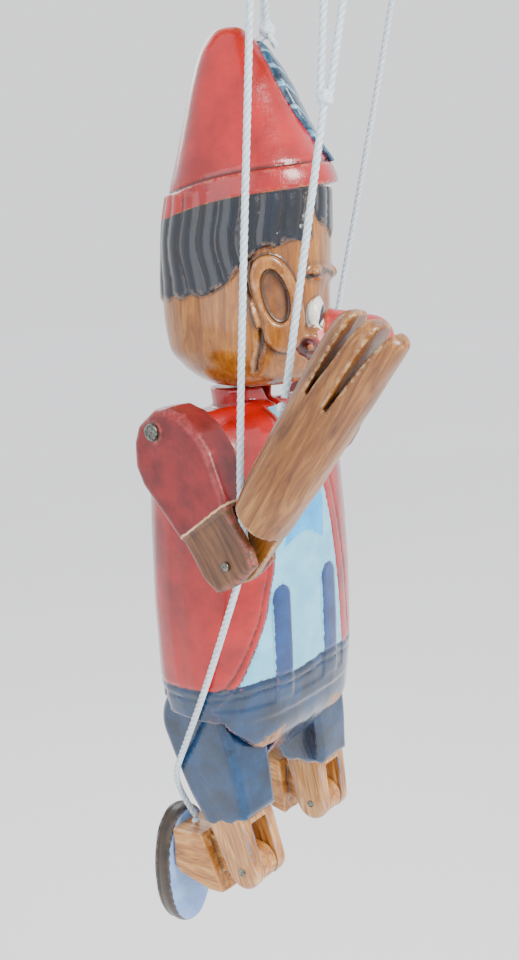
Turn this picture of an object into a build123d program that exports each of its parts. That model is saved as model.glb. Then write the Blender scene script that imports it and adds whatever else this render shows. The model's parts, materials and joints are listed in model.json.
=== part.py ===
# Carved wooden marionette puppet hanging on five strings from a wooden cross control.
# Millimetres, +Z up. The puppet faces -Y, its right side is -X. Origin: grip point on top of the control.
from build123d import *
import math
import os

os.makedirs("parts", exist_ok=True)

# ---------------------------------------------------------------- driving dimensions
GRIP = (14.0, -24.0, 227.0)          # grip point on the control, in the torso frame (waist at z = 0)

SHOULDER_Y, SHOULDER_Z = -6.1, 78.75  # shoulder nail axis
ARM_IN, ARM_OUT = 35.6, 47.1          # upper arm, distance from the mid plane
ARM_SLOT_IN, ARM_SLOT_OUT = 38.0, 43.9
TONGUE_IN, TONGUE_OUT = 38.35, 41.2
ELBOW_DROP = 40.7                     # shoulder nail to elbow pin
FORE_X, FORE_A = 42.6, 6.9            # forearm centre distance and half thickness
SHOULDER_R = 1.3
SHOULDER_BORE = 1.35
ELBOW_R = 0.9
ELBOW_BORE = 0.95

HIP_Y, HIP_Z = 2.5, -14.0             # hip rod axis
HIP_R = 1.5
HIP_BORE = 1.55
THIGH_R = 12.8
POCKET_R = 13.3
KNEE_DROP = 46.0                      # hip rod to knee pin
KNEE_X = 23.75
KNEE_R = 1.2
KNEE_BORE = 1.25

NECK_R = 1.6
NECK_BORE = 1.65
HEAD_YAW = 30.0

ARM_R_ANGLE, ELBOW_R_ANGLE = 33.0, 111.6     # right arm forward swing, elbow bend
ARM_L_ANGLE, ELBOW_L_ANGLE = -38.0, 29.0
HIP_R_ANGLE, KNEE_R_ANGLE = 21.0, 111.0      # right thigh forward swing, knee bend
HIP_L_ANGLE, KNEE_L_ANGLE = 10.0, 118.0

CTRL_X, CTRL_Y = 6.5, -11.0           # centre of the control above the puppet
CTRL_YAW = 30.0
BAR_TOP = 227.0
STRING_R = 0.95


# ---------------------------------------------------------------- helpers
def super_wire(pts3):
    return Wire([Edge.make_spline([Vector(*p) for p in pts3], periodic=True)])


def super_pts(a, b, n, count=36):
    out = []
    for i in range(count):
        t = 2 * math.pi * i / count
        c, s = math.cos(t), math.sin(t)
        out.append((a * math.copysign(abs(c) ** (2.0 / n), c), b * math.copysign(abs(s) ** (2.0 / n), s)))
    return out


def loft_z(sections):
    # sections: (z, centre x, centre y, half x, half y, n)
    wires = []
    for z, cx, cy, a, b, n in sections:
        wires.append(super_wire([(cx + p, cy + q, z) for p, q in super_pts(a, b, n)]))
    return Solid.make_loft(wires)


def prism_x(pts_yz, x0, x1):
    face = Face(Wire.make_polygon([Vector(x0, y, z) for y, z in pts_yz]))
    return extrude(face, amount=x1 - x0, dir=(1, 0, 0))


def prism_y(pts_xz, y0, y1):
    face = Face(Wire.make_polygon([Vector(x, y0, z) for x, z in pts_xz]))
    return extrude(face, amount=y1 - y0, dir=(0, 1, 0))


def rod_x(r, x0, x1, y=0.0, z=0.0):
    return Solid.make_cylinder(r, x1 - x0, Plane(origin=(x0, y, z), z_dir=(1, 0, 0)))


def rod(r, p, q):
    d = Vector(*q) - Vector(*p)
    return Solid.make_cylinder(r, d.length, Plane(origin=p, z_dir=tuple(d)))


def ball(r, p):
    return Pos(*p) * Sphere(r)


def soften(shape, pick, r):
    # round the picked edges when the kernel can, else keep them sharp
    try:
        out = fillet(pick(shape), r)
        if out.is_valid and out.volume > 0.7 * shape.volume:
            return out
    except Exception:
        pass
    return shape


def long_edges(shape):
    return [e for e in shape.edges() if e.length > 2.0]


def twine(pts, r, bend):
    if len(pts) == 2:
        return rod(r, pts[0], pts[1])
    path = FilletPolyline(*pts, radius=bend)
    start = Plane(origin=path @ 0, z_dir=path % 0)
    return sweep(start * Circle(r), path=path)


def length_of(pts):
    return sum((Vector(*b) - Vector(*a)).length for a, b in zip(pts, pts[1:]))


def one(shape):
    s = shape.solids()
    return max(s, key=lambda k: k.volume) if len(s) > 1 else s[0]


OUT = {}


def out(name, shape):
    OUT[name] = shape


def place(obj, angle, y, z):
    return Pos(0, y, z) * Rot(angle, 0, 0) * obj


def turn(p, angle):
    # y, z after a turn about X by angle degrees
    a = math.radians(angle)
    return (p[0] * math.cos(a) - p[1] * math.sin(a), p[0] * math.sin(a) + p[1] * math.cos(a))


def left(obj):
    return mirror(obj, about=Plane.YZ)


# ---------------------------------------------------------------- torso block
torso = loft_z([
    (-10.0, 0, 0, 33.6, 20.6, 2.8), (0.0, 0, 0, 34.5, 21.5, 2.8), (20.0, 0, 0, 34.8, 21.8, 2.8),
    (40.0, 0, 0, 34.6, 21.2, 2.8), (58.0, 0, 0, 34.0, 20.0, 2.8), (70.0, 0, 0, 33.3, 18.4, 2.7),
    (75.0, 0, 0, 30.5, 16.0, 2.5), (78.6, 0, 0, 23.0, 11.0, 2.3)])
pelvis = prism_y([(-32.5, -8), (32.5, -8), (31.5, -11), (12.0, -30), (-12.0, -30), (-31.5, -11)], -19.8, 19.0)
pelvis = pelvis & loft_z([(-31.0, 0, 0, 33.0, 17.5, 3.2), (-7.0, 0, 0, 33.3, 20.2, 2.8)])
pelvis = pelvis - prism_x([(-25.6, -9.5), (-4.8, -34.3), (-30, -40), (-40, -20)], -33, 33)
torso = torso + pelvis
torso = torso + rod_x(3.3, -34.6, 34.6, SHOULDER_Y, 77.9)
collar = Solid.make_cylinder(8.8, 9.2, Plane(origin=(0, 1.5, 76.0), z_dir=(0, 0, 1)))
torso = torso + collar
notch = prism_y([(0.0, 79.5), (4.2, 86.0), (-4.2, 86.0)], -9.0, -3.0)
torso = torso - Rot(0, 0, 20) * notch
a1, a2 = math.radians(24.0), math.radians(27.0)
front = (HIP_Y - POCKET_R * math.cos(a1), HIP_Z + POCKET_R * math.sin(a1))
back = (HIP_Y + 13.8 * math.cos(a2), HIP_Z + 13.8 * math.sin(a2))
pocket_pts = [(HIP_Y, HIP_Z), front, (front[0] - 60 * math.sin(a1), front[1] - 60 * math.cos(a1)),
              (back[0] + 60 * math.sin(a2), back[1] - 60 * math.cos(a2)), back]
for s in (-1, 1):
    x0, x1 = (12.2, 31.6) if s > 0 else (-31.6, -12.2)
    torso = torso - prism_x(pocket_pts, x0, x1) - rod_x(POCKET_R, x0, x1, HIP_Y, HIP_Z)
torso = torso - rod_x(HIP_R, -28.0, 28.0, HIP_Y, HIP_Z)
torso = torso - Solid.make_cylinder(NECK_R, 20.0, Plane(origin=(0, 0, 70.0), z_dir=(0, 0, 1)))
torso = torso - rod_x(SHOULDER_R, -40, -24.0, SHOULDER_Y, SHOULDER_Z) - rod_x(SHOULDER_R, 24.0, 40, SHOULDER_Y, SHOULDER_Z)
pass_line = [(-27.6, 11.4, -41.0), (-32.35, 9.6, -31.0), (-33.2, 5.0, -22.5), (-36.9, -9.5, 2.7), (-42.45, -27.6, 36.6)]
for p, q in zip(pass_line, pass_line[1:]):
    torso = torso - rod(STRING_R + 0.4, p, q)
out("torso_block", one(torso))
out("hip_rod", rod_x(HIP_R, -28.0, 28.0, HIP_Y, HIP_Z))
out("neck_pin", Solid.make_cylinder(NECK_R, 26.5, Plane(origin=(0, 0, 70.0), z_dir=(0, 0, 1))))
nail = rod_x(SHOULDER_R, -47.4, -24.0, SHOULDER_Y, SHOULDER_Z) + rod_x(2.3, -48.6, -47.4, SHOULDER_Y, SHOULDER_Z)
out("right_shoulder_nail", one(nail))
out("left_shoulder_nail", one(left(nail)))

# ---------------------------------------------------------------- head block, built facing -Y then turned
HEAD = [(85.7, -17.0, 7.0, 13.0), (88.0, -22.5, 12.0, 17.0), (92.0, -24.5, 17.0, 19.5), (98.0, -26.0, 21.2, 21.5),
        (108.0, -26.5, 22.2, 22.3), (118.0, -27.3, 22.0, 22.6), (126.0, -28.0, 21.3, 22.8), (135.0, -29.0, 20.2, 22.8),
        (143.0, -29.7, 18.2, 22.0), (153.0, -24.7, 15.2, 18.8), (162.0, -20.0, 12.8, 15.5), (171.0, -15.9, 10.2, 12.4),
        (179.4, -10.4, 7.2, 8.5), (184.0, -6.0, 3.9, 5.0), (186.0, -3.5, 1.0, 2.2)]


def head_loft(grow, z_lo=0.0):
    return loft_z([(z, 0, (yf + yb) / 2, w + grow, (yb - yf) / 2 + grow, 2.5) for z, yf, yb, w in HEAD if z >= z_lo])


head_full = head_loft(0.0)
nose_dir = Vector(0, -14, -3).normalized()
nose = rod(7.3, (0, -20, 101.0), (0, -38.0, 97.2)) + ball(7.3, (0, -38.0, 97.2))
nose = one(nose - head_full) + rod(3.0, (0, -31, 98.6), (0, -14.0, 102.2))
head = head_full - rod(3.0, (0, -31, 98.6), (0, -14.0, 102.2))
head = head - Solid.make_cylinder(NECK_BORE, 12.0, Plane(origin=(0, 0, 85.0), z_dir=(0, 0, 1)))
leaf = prism_y([(-1, 182), (-6, 178), (-9, 170), (-8.5, 160), (-5, 152), (-1, 147.5), (3, 148), (6, 154), (6.5, 163),
                (5, 173), (2, 180)], -45.0, 0.0)
feather = one((head_loft(2.0, 142.0) & leaf) - head_full)
KNOT = (-0.4, -11.9, 184.2)
KNOT_IN = (0.0, -3.0, 176.0)
head = head - rod(1.12, (-0.4, -11.9, 184.2), (0.0, -2.78, 175.8))
hat_knot = one(ball(2.7, KNOT) + rod(1.05, KNOT, KNOT_IN))
head = head - ball(2.75, KNOT)
feather = one(feather - ball(2.8, KNOT) - rod(1.15, KNOT, KNOT_IN))
for nm, sh in (("head_block", one(head)), ("hat_feather", feather), ("nose_peg", one(nose)), ("hat_knot", hat_knot)):
    out(nm, Rot(0, 0, HEAD_YAW) * sh)

# ---------------------------------------------------------------- upper arm (right, local frame at the shoulder nail)
ARM = [(-3, 5.2), (4.7, 4.4), (8.6, 1.5), (12.6, -4), (13.6, -9.4), (12.6, -15), (10.4, -28), (10.6, -40), (8.5, -46.2),
       (0, -47.3), (-8.6, -45.5), (-9.8, -41), (-9.6, -30), (-11.5, -22), (-13.3, -14), (-13, -8), (-10.5, -1), (-7, 3.2)]
arm = prism_x(ARM, -ARM_OUT, -ARM_IN)
arm = soften(arm, lambda s: [e for e in s.edges() if e.length > 1.5 and abs((e @ 0).X - (e @ 1).X) < 0.01
                             and abs((e @ 0).X + ARM_OUT) < 0.01], 1.2)
arm = arm - Pos(-(ARM_SLOT_IN + ARM_SLOT_OUT) / 2, 0, -28.3 - 15) * Box(ARM_SLOT_OUT - ARM_SLOT_IN, 40, 30)
arm = arm - rod_x(SHOULDER_BORE, -50, -30, 0, 0)
arm = arm - rod_x(ELBOW_R, -50, -30, 0, -ELBOW_DROP)
elbow_pin = rod_x(ELBOW_R, -ARM_OUT - 0.3, -ARM_IN, 0, -ELBOW_DROP)

# ---------------------------------------------------------------- forearm and hand (right, local frame at the elbow pin)
fore = Solid.make_loft([super_wire([(-FORE_X + p, vc + q, -u) for p, q in super_pts(a, b, 2.7)]) for u, vc, a, b in [
    (15.4, 0.3, 6.7, 7.2), (25, 0.2, 6.9, 8.2), (37, 0.2, 6.7, 8.8), (47, 0.4, 6.4, 8.9), (59, 0.5, 6.6, 9.0),
    (70, 0.8, 6.2, 8.8), (76.5, 1.6, 5.4, 7.8), (79.2, 2.2, 4.0, 6.2)]])
tongue = prism_x([(-5.9, 0), (5.9, 0), (7.0, -19), (-6.6, -19)], -TONGUE_OUT, -TONGUE_IN)
tongue = tongue + rod_x(6.0, -TONGUE_OUT, -TONGUE_IN, 0, 0)
fore = fore + tongue
for v0, v1 in ((-3.4, -1.6), (3.0, 5.2)):
    fore = fore - prism_x([(v0 - 0.6, -55), (v0 + 0.6, -55), (v1 + 0.7, -82), (v1 - 0.7, -82)], -60, -30)
fore = fore - rod_x(ELBOW_BORE, -60, -30, 0, 0)

# ---------------------------------------------------------------- thigh (right, local frame at the hip rod)
thigh = prism_x([(-THIGH_R, 0), (-12.5, -8), (-11.0, -20), (-8.6, -31), (8.2, -31), (11.3, -20), (12.6, -8), (THIGH_R, 0)],
                -31.2, -12.5) + rod_x(THIGH_R, -31.2, -12.5, 0, 0)
thigh = thigh & prism_y([(-31.2, 14), (-12.5, 14), (-12.5, -6), (-16.0, -31), (-31.2, -31)], -20, 20)
fork = prism_x([(-7.6, -29), (7.6, -29), (5.7, -KNEE_DROP), (-5.7, -KNEE_DROP)], -31.0, -16.4)
fork = fork + rod_x(5.7, -31.0, -16.4, 0, -KNEE_DROP)
thigh = thigh + fork
thigh = thigh - Pos(-KNEE_X, 0, -33 - 15) * Box(7.0, 40, 30)
thigh = thigh - rod_x(HIP_BORE, -28.3, -5, 0, 0)
thigh = thigh - rod_x(KNEE_R, -40, -5, 0, -KNEE_DROP)
knee_pin = rod_x(KNEE_R, -31.2, -16.2, 0, -KNEE_DROP)

# ---------------------------------------------------------------- lower leg and shoe (right, local frame at the knee pin)
shin = prism_x([(-5.5, 0), (5.5, 0), (5.5, -19), (-5.5, -19)], -KNEE_X - 3.1, -KNEE_X + 3.1)
shin = shin + rod_x(5.5, -KNEE_X - 3.1, -KNEE_X + 3.1, 0, 0)
calf = prism_x([(-11.0, -9.0), (7.0, -16.0), (6.0, -27.0), (-7.0, -27.0), (-11.5, -14.0)], -32.3, -15.2)
calf = calf & prism_y([(-KNEE_X - 6, -8), (-KNEE_X + 6, -8), (-KNEE_X + 8.5, -27), (-KNEE_X - 8.5, -27)], -20, 20)
shin = shin + calf - rod_x(KNEE_BORE, -40, -5, 0, 0)
shoe = Solid.make_loft([super_wire([(-24.0 + p, -10.0 + q, z) for p, q in super_pts(a, b, 2.3)]) for z, a, b in [
    (-27.0, 10.0, 19.2), (-28.6, 10.7, 20.0), (-32.0, 10.7, 20.0), (-33.5, 10.1, 19.3)]])

# ---------------------------------------------------------------- control
t = math.radians(CTRL_YAW)


def ctl(xc, yc, z):
    return (CTRL_X + xc * math.cos(t) - yc * math.sin(t), CTRL_Y + xc * math.sin(t) + yc * math.cos(t), z)


HAND_N, HAND_F = (-40.0, -27.55), (40.0, -37.5)      # string places on the hand bar
LEG_N, LEG_F = (-40.0, -2.7), (40.0, 5.5)            # string places on the leg bar
HEAD_P = (0.0, 0.9)


def bar(p, q, over, width, z0, z1):
    dx, dy = q[0] - p[0], q[1] - p[1]
    ln = math.hypot(dx, dy) + 2 * over
    ang = math.degrees(math.atan2(dy, dx))
    cx, cy = (p[0] + q[0]) / 2, (p[1] + q[1]) / 2
    b = Pos(cx, cy, (z0 + z1) / 2) * Rot(0, 0, ang) * Box(ln, width, z1 - z0)
    return Pos(CTRL_X, CTRL_Y, 0) * Rot(0, 0, CTRL_YAW) * b


def up(r, xc, yc, z0, z1):
    return rod(r, ctl(xc, yc, z0), ctl(xc, yc, z1))


hand_mid = (0.0, (HAND_N[1] + HAND_F[1]) / 2)
leg_mid = (3.6, (LEG_N[1] + LEG_F[1]) / 2 - 3.0)
main_bar = bar((0, -56), (0, 58), 4, 14, 221.0, 227.0)
main_bar = soften(main_bar, lambda s: s.edges().filter_by(Axis.Z), 5.0)
main_bar = main_bar - up(2.5, 0, 50, 220, 228) - up(0.9, hand_mid[0], hand_mid[1], 220, 228) - up(0.9, leg_mid[0], leg_mid[1], 220, 228)
hand_bar = bar(HAND_N, HAND_F, 5, 6, 215.0, 221.0) - up(1.12, HAND_F[0], HAND_F[1], 214, 222) - up(0.9, hand_mid[0], hand_mid[1], 216, 222)
leg_bar = bar(LEG_N, LEG_F, 5, 12, 216.0, 221.0)
for p in (LEG_N, LEG_F):
    leg_bar = leg_bar - up(1.12, p[0], p[1], 214, 222)
leg_bar = leg_bar - up(0.9, leg_mid[0], leg_mid[1], 217, 222) - up(0.7, HEAD_P[0], HEAD_P[1], 215, 219)
nails = [one(up(0.9, p[0], p[1], 217.5, 227.0) + up(2.2, p[0], p[1], 227.0, 227.8)) for p in (hand_mid, leg_mid)]
eye_c = ctl(HEAD_P[0], HEAD_P[1], 212.6)
screw_eye = Plane(origin=eye_c, z_dir=(math.cos(t), math.sin(t), 0)) * Torus(2.4, 0.7) + up(0.7, HEAD_P[0], HEAD_P[1], 215.0, 219.0)
out("control_main_bar", one(main_bar))
out("control_hand_bar", one(hand_bar))
out("control_leg_bar", one(leg_bar))
out("control_nails", Compound(children=nails))
out("control_screw_eye", one(screw_eye))


# ---------------------------------------------------------------- strings
def lerp(a, b, f):
    return tuple(a[i] + (b[i] - a[i]) * f for i in range(3))


lengths, paths = {}, {}
R_HAND = [lerp((-44.0, -47.6, 87.3), (-14.4, -54.8, 216.0), 0.014), lerp((-44.0, -47.6, 87.3), (-14.4, -54.8, 216.0), 0.535)]
r_knot = lerp((-44.0, -47.6, 87.3), (-14.4, -54.8, 216.0), 0.555)
bend_y = 4.1
n0, n1 = ctl(HAND_N[0], HAND_N[1] + bend_y, 214.0), ctl(HAND_N[0], HAND_N[1] - bend_y, 214.0)
n0t, n1t = ctl(HAND_N[0], HAND_N[1] + bend_y, 222.2), ctl(HAND_N[0], HAND_N[1] - bend_y, 222.2)
R_LOOP = [r_knot, n0, n0t, n1t, n1, r_knot]
k0 = tuple(r_knot[i] + (-1.1 * math.sin(t), 1.1 * math.cos(t), 0.6)[i] for i in range(3))
k1 = tuple(r_knot[i] - (-1.1 * math.sin(t), 1.1 * math.cos(t), -0.6)[i] for i in range(3))
loop = twine([k0, n0, n0t, n1t, n1, k1], STRING_R, 1.6)
r_hand_string = (twine([R_HAND[0], r_knot], STRING_R, 0) + ball(2.5, r_knot)) + loop
out("right_hand_string", one(r_hand_string))
paths["right_hand_string"] = [R_HAND[0], r_knot, n0, n0t]

L_WRIST = (51.3, 25.7, 4.6)
L_HAND_LOW = ctl(HAND_F[0], HAND_F[1], 214.3)
L_HAND_TOP = ctl(HAND_F[0], HAND_F[1], 221.6)
out("left_hand_string", one(twine([L_WRIST, L_HAND_LOW, L_HAND_TOP], STRING_R, 4.0) + ball(2.3, ctl(HAND_F[0], HAND_F[1], 223.15))))
paths["left_hand_string"] = [L_WRIST, L_HAND_LOW, L_HAND_TOP]

R_LEG = [(-24.2, 9.6, -48.9), (-27.6, 11.4, -41.0), (-32.35, 9.6, -31.0), (-33.2, 5.0, -22.5), (-36.9, -9.5, 2.7),
         (-42.45, -27.6, 36.6), (-42.55, -30.7, 44.1), (-42.6, -32.4, 51.9), (-44.3, -31.4, 61.4), ctl(LEG_N[0], LEG_N[1], 215.5),
         ctl(LEG_N[0], LEG_N[1], 221.6)]
out("right_leg_string", one(twine(R_LEG, STRING_R, 2.0) + ball(2.3, ctl(LEG_N[0], LEG_N[1], 223.15))))
paths["right_leg_string"] = R_LEG

L_LEG = [(24.2, 15.6, -43.6), (25.9, 18.9, -8.0), (27.4, 19.6, 10.0), (28.6, 19.6, 40.0), ctl(LEG_F[0], LEG_F[1], 215.5),
         ctl(LEG_F[0], LEG_F[1], 221.6)]
out("left_leg_string", one(twine(L_LEG, STRING_R, 4.0) + ball(2.3, ctl(LEG_F[0], LEG_F[1], 223.15))))
paths["left_leg_string"] = L_LEG

hc, hs = math.cos(math.radians(HEAD_YAW)), math.sin(math.radians(HEAD_YAW))
HEAD_LOW = (KNOT[0] * hc - KNOT[1] * hs, KNOT[0] * hs + KNOT[1] * hc, KNOT[2] + 3.1)
HEAD_TOP = ctl(HEAD_P[0], HEAD_P[1], 209.3)
out("head_string", one(twine([HEAD_LOW, HEAD_TOP], STRING_R, 0)))
paths["head_string"] = [HEAD_LOW, HEAD_TOP]

# ---------------------------------------------------------------- place the limbs and seat the knots
sides = [
    ("right", lambda s: s, ARM_R_ANGLE, ELBOW_R_ANGLE, HIP_R_ANGLE, KNEE_R_ANGLE),
    ("left", left, ARM_L_ANGLE, ELBOW_L_ANGLE, HIP_L_ANGLE, KNEE_L_ANGLE)]
for side, flip, arm_a, elbow_a, hip_a, knee_a in sides:
    a = flip(place(arm, -arm_a, SHOULDER_Y, SHOULDER_Z))
    p = flip(place(elbow_pin, -arm_a, SHOULDER_Y, SHOULDER_Z))
    dy, dz = turn((0.0, -ELBOW_DROP), -arm_a)
    ey, ez = SHOULDER_Y + dy, SHOULDER_Z + dz
    f = flip(place(fore, -(arm_a + elbow_a), ey, ez))
    sx = -1.0 if side == "right" else 1.0
    if side == "right":
        wrist = (-44.0, -46.55, 86.6)
        clear = twine(R_LEG[:-1], STRING_R + 0.4, 2.0)
        a = a - clear
        f = f - clear
        out("right_wrist_knot", one(ball(1.5, wrist)))
        f = f - ball(1.52, wrist) - rod(1.4, (-44.0, -47.6, 87.3), R_HAND[1])
    else:
        wrist = (49.75, 26.2, 1.2)
        f = f - ball(1.52, wrist)
        out("left_wrist_knot", one(ball(1.5, wrist)))
        f = f - rod(STRING_R + 0.35, L_WRIST, L_HAND_LOW)
    out(side + "_upper_arm", one(a))
    out(side + "_elbow_pin", p)
    out(side + "_forearm", one(f))
    th = flip(place(thigh, -hip_a, HIP_Y, HIP_Z))
    kp = flip(place(knee_pin, -hip_a, HIP_Y, HIP_Z))
    dy, dz = turn((0.0, -KNEE_DROP), -hip_a)
    ky, kz = HIP_Y + dy, HIP_Z + dz
    lg = flip(place(shin, -hip_a + knee_a, ky, kz))
    sh = flip(place(shoe, -hip_a + knee_a, ky, kz))
    dy, dz = turn((6.0, -23.6), -hip_a + knee_a)
    kn = (sx * 24.2, ky + dy, kz + dz)
    print(side, "elbow", round(ey, 2), round(ez, 2), "knee", round(ky, 2), round(kz, 2), "leg knot", [round(v, 2) for v in kn])
    out(side + "_leg_knot", one(ball(1.5, kn)))
    lg = lg - ball(1.52, kn)
    out(side + "_thigh", one(th))
    out(side + "_knee_pin", kp)
    out(side + "_lower_leg", one(lg))
    out(side + "_shoe", one(sh))

# ---------------------------------------------------------------- write every node in the grip frame
for name, shape in OUT.items():
    moved = Pos(-GRIP[0], -GRIP[1], -GRIP[2]) * shape
    export_step(moved, "parts/" + name + ".step")
    bb = moved.bounding_box()
    print(name, "solids", len(moved.solids()), "vol", round(moved.volume, 1), "valid", moved.is_valid,
          [round(v, 1) for v in (bb.min.X, bb.min.Y, bb.min.Z, bb.max.X, bb.max.Y, bb.max.Z)])
for name, pts in paths.items():
    print("string", name, "length", round(length_of(pts), 1), "radius", STRING_R,
          [tuple(round(p[i] - GRIP[i], 2) for i in range(3)) for p in pts])
print("bend radii: right leg string 2.0, left leg string 4.0, left hand string 4.0, hand loop 1.6")
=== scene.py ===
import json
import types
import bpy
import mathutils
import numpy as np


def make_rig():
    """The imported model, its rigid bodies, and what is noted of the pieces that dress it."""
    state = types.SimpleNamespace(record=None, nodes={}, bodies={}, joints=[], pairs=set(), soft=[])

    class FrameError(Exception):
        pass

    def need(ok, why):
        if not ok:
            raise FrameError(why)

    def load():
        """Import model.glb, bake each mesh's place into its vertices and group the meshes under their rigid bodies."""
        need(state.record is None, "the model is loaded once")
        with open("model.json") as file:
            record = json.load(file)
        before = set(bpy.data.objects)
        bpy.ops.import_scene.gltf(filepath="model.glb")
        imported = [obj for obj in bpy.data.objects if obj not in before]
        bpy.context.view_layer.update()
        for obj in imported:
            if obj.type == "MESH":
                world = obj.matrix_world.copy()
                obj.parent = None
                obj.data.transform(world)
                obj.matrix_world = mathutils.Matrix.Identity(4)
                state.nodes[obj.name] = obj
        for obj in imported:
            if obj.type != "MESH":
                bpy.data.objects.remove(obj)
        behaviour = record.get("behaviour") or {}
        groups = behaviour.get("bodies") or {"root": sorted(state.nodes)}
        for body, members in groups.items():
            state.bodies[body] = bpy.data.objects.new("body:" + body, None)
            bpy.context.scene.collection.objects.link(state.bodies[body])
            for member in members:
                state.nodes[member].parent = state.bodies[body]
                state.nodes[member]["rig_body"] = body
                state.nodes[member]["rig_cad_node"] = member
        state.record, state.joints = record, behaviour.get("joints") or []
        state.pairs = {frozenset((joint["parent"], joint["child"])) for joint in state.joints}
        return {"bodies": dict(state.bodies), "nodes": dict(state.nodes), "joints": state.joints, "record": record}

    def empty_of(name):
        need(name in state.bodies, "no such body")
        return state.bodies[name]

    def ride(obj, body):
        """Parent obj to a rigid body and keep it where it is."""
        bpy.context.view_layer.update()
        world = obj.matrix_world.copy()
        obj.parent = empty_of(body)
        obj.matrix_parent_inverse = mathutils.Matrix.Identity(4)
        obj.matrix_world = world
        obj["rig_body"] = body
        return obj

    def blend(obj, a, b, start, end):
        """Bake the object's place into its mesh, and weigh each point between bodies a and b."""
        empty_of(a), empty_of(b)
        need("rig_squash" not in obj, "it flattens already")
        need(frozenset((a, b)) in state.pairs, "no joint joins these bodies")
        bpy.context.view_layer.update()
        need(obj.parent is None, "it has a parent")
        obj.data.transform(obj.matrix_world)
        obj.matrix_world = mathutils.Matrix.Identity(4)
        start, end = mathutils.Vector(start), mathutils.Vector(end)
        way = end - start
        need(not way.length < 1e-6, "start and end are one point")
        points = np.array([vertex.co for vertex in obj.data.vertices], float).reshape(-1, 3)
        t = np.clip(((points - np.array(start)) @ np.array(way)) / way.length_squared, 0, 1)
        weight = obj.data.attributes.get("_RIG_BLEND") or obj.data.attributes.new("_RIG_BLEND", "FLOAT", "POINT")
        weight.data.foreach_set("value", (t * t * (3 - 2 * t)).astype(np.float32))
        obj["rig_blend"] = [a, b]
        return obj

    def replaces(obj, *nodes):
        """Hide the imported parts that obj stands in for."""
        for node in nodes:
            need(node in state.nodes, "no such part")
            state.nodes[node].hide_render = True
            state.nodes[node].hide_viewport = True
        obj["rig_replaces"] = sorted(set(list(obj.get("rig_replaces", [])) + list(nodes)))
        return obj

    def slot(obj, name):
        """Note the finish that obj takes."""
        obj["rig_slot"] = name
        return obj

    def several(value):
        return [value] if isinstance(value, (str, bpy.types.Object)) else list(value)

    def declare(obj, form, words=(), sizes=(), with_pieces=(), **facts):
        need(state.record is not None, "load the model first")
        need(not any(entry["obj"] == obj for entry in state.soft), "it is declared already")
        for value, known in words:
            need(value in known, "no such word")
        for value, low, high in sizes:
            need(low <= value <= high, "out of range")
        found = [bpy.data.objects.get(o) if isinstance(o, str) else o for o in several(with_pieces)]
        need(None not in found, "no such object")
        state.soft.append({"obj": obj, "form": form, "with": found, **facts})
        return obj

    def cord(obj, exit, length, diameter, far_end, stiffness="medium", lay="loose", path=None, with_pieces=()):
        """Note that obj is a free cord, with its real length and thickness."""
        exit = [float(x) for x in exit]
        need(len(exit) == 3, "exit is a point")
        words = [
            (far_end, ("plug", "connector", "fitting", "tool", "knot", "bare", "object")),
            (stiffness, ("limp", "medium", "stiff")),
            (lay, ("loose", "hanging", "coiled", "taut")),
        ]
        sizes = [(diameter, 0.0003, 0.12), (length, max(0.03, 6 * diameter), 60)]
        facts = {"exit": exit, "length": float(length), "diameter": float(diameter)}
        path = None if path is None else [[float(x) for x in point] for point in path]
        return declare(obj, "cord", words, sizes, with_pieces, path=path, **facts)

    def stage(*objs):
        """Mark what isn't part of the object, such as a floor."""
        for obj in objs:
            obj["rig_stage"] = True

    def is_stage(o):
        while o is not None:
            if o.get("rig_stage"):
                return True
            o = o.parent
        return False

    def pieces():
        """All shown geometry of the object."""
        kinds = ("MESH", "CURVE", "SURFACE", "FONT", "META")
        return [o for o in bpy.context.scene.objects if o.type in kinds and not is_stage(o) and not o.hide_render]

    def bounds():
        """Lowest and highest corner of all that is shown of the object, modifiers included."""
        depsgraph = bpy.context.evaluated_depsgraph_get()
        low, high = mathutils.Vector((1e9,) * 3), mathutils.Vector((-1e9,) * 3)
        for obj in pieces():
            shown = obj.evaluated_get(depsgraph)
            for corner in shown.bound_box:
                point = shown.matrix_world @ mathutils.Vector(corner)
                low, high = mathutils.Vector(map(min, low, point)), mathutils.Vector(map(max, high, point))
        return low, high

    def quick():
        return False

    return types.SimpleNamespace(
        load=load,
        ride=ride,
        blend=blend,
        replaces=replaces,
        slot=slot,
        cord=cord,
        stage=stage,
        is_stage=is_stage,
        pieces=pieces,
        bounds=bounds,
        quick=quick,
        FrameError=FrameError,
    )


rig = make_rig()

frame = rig.load()
import bpy
import json
import math
import numpy as np
import openvdb as vdb
from mathutils import Matrix, Vector

cad_lo, cad_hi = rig.bounds()
cad_box = [[float(v) for v in cad_lo], [float(v) for v in cad_hi]]
GRIP = np.array([14.0, -24.0, 227.0])
COARSE = 1.6 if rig.quick() else 1.0

# ---------------------------------------------------------------- distance-field modelling, millimetres, waist at z = 0
def spl(xs, ys):
    """smooth interpolation through control values (monotone-ish cubic), returns a function"""
    xs = np.asarray(xs, float)
    ys = np.asarray(ys, float)
    m = np.zeros_like(ys)
    d = np.diff(ys) / np.diff(xs)
    m[1:-1] = np.where(d[1:] * d[:-1] > 0, 2 * d[1:] * d[:-1] / (d[1:] + d[:-1] + 1e-12), 0)
    m[0], m[-1] = d[0], d[-1]

    def f(x):
        x = np.clip(x, xs[0], xs[-1])
        i = np.clip(np.searchsorted(xs, x) - 1, 0, len(xs) - 2)
        h = xs[i + 1] - xs[i]
        t = (x - xs[i]) / h
        return ((1 + 2 * t) * (1 - t) ** 2 * ys[i] + t * (1 - t) ** 2 * h * m[i] + t * t * (3 - 2 * t) * ys[i + 1]
                + t * t * (t - 1) * h * m[i + 1])
    return f


def smin(a, b, k):
    h = np.clip(0.5 + 0.5 * (b - a) / k, 0, 1)
    return b + (a - b) * h - k * h * (1 - h)


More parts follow.
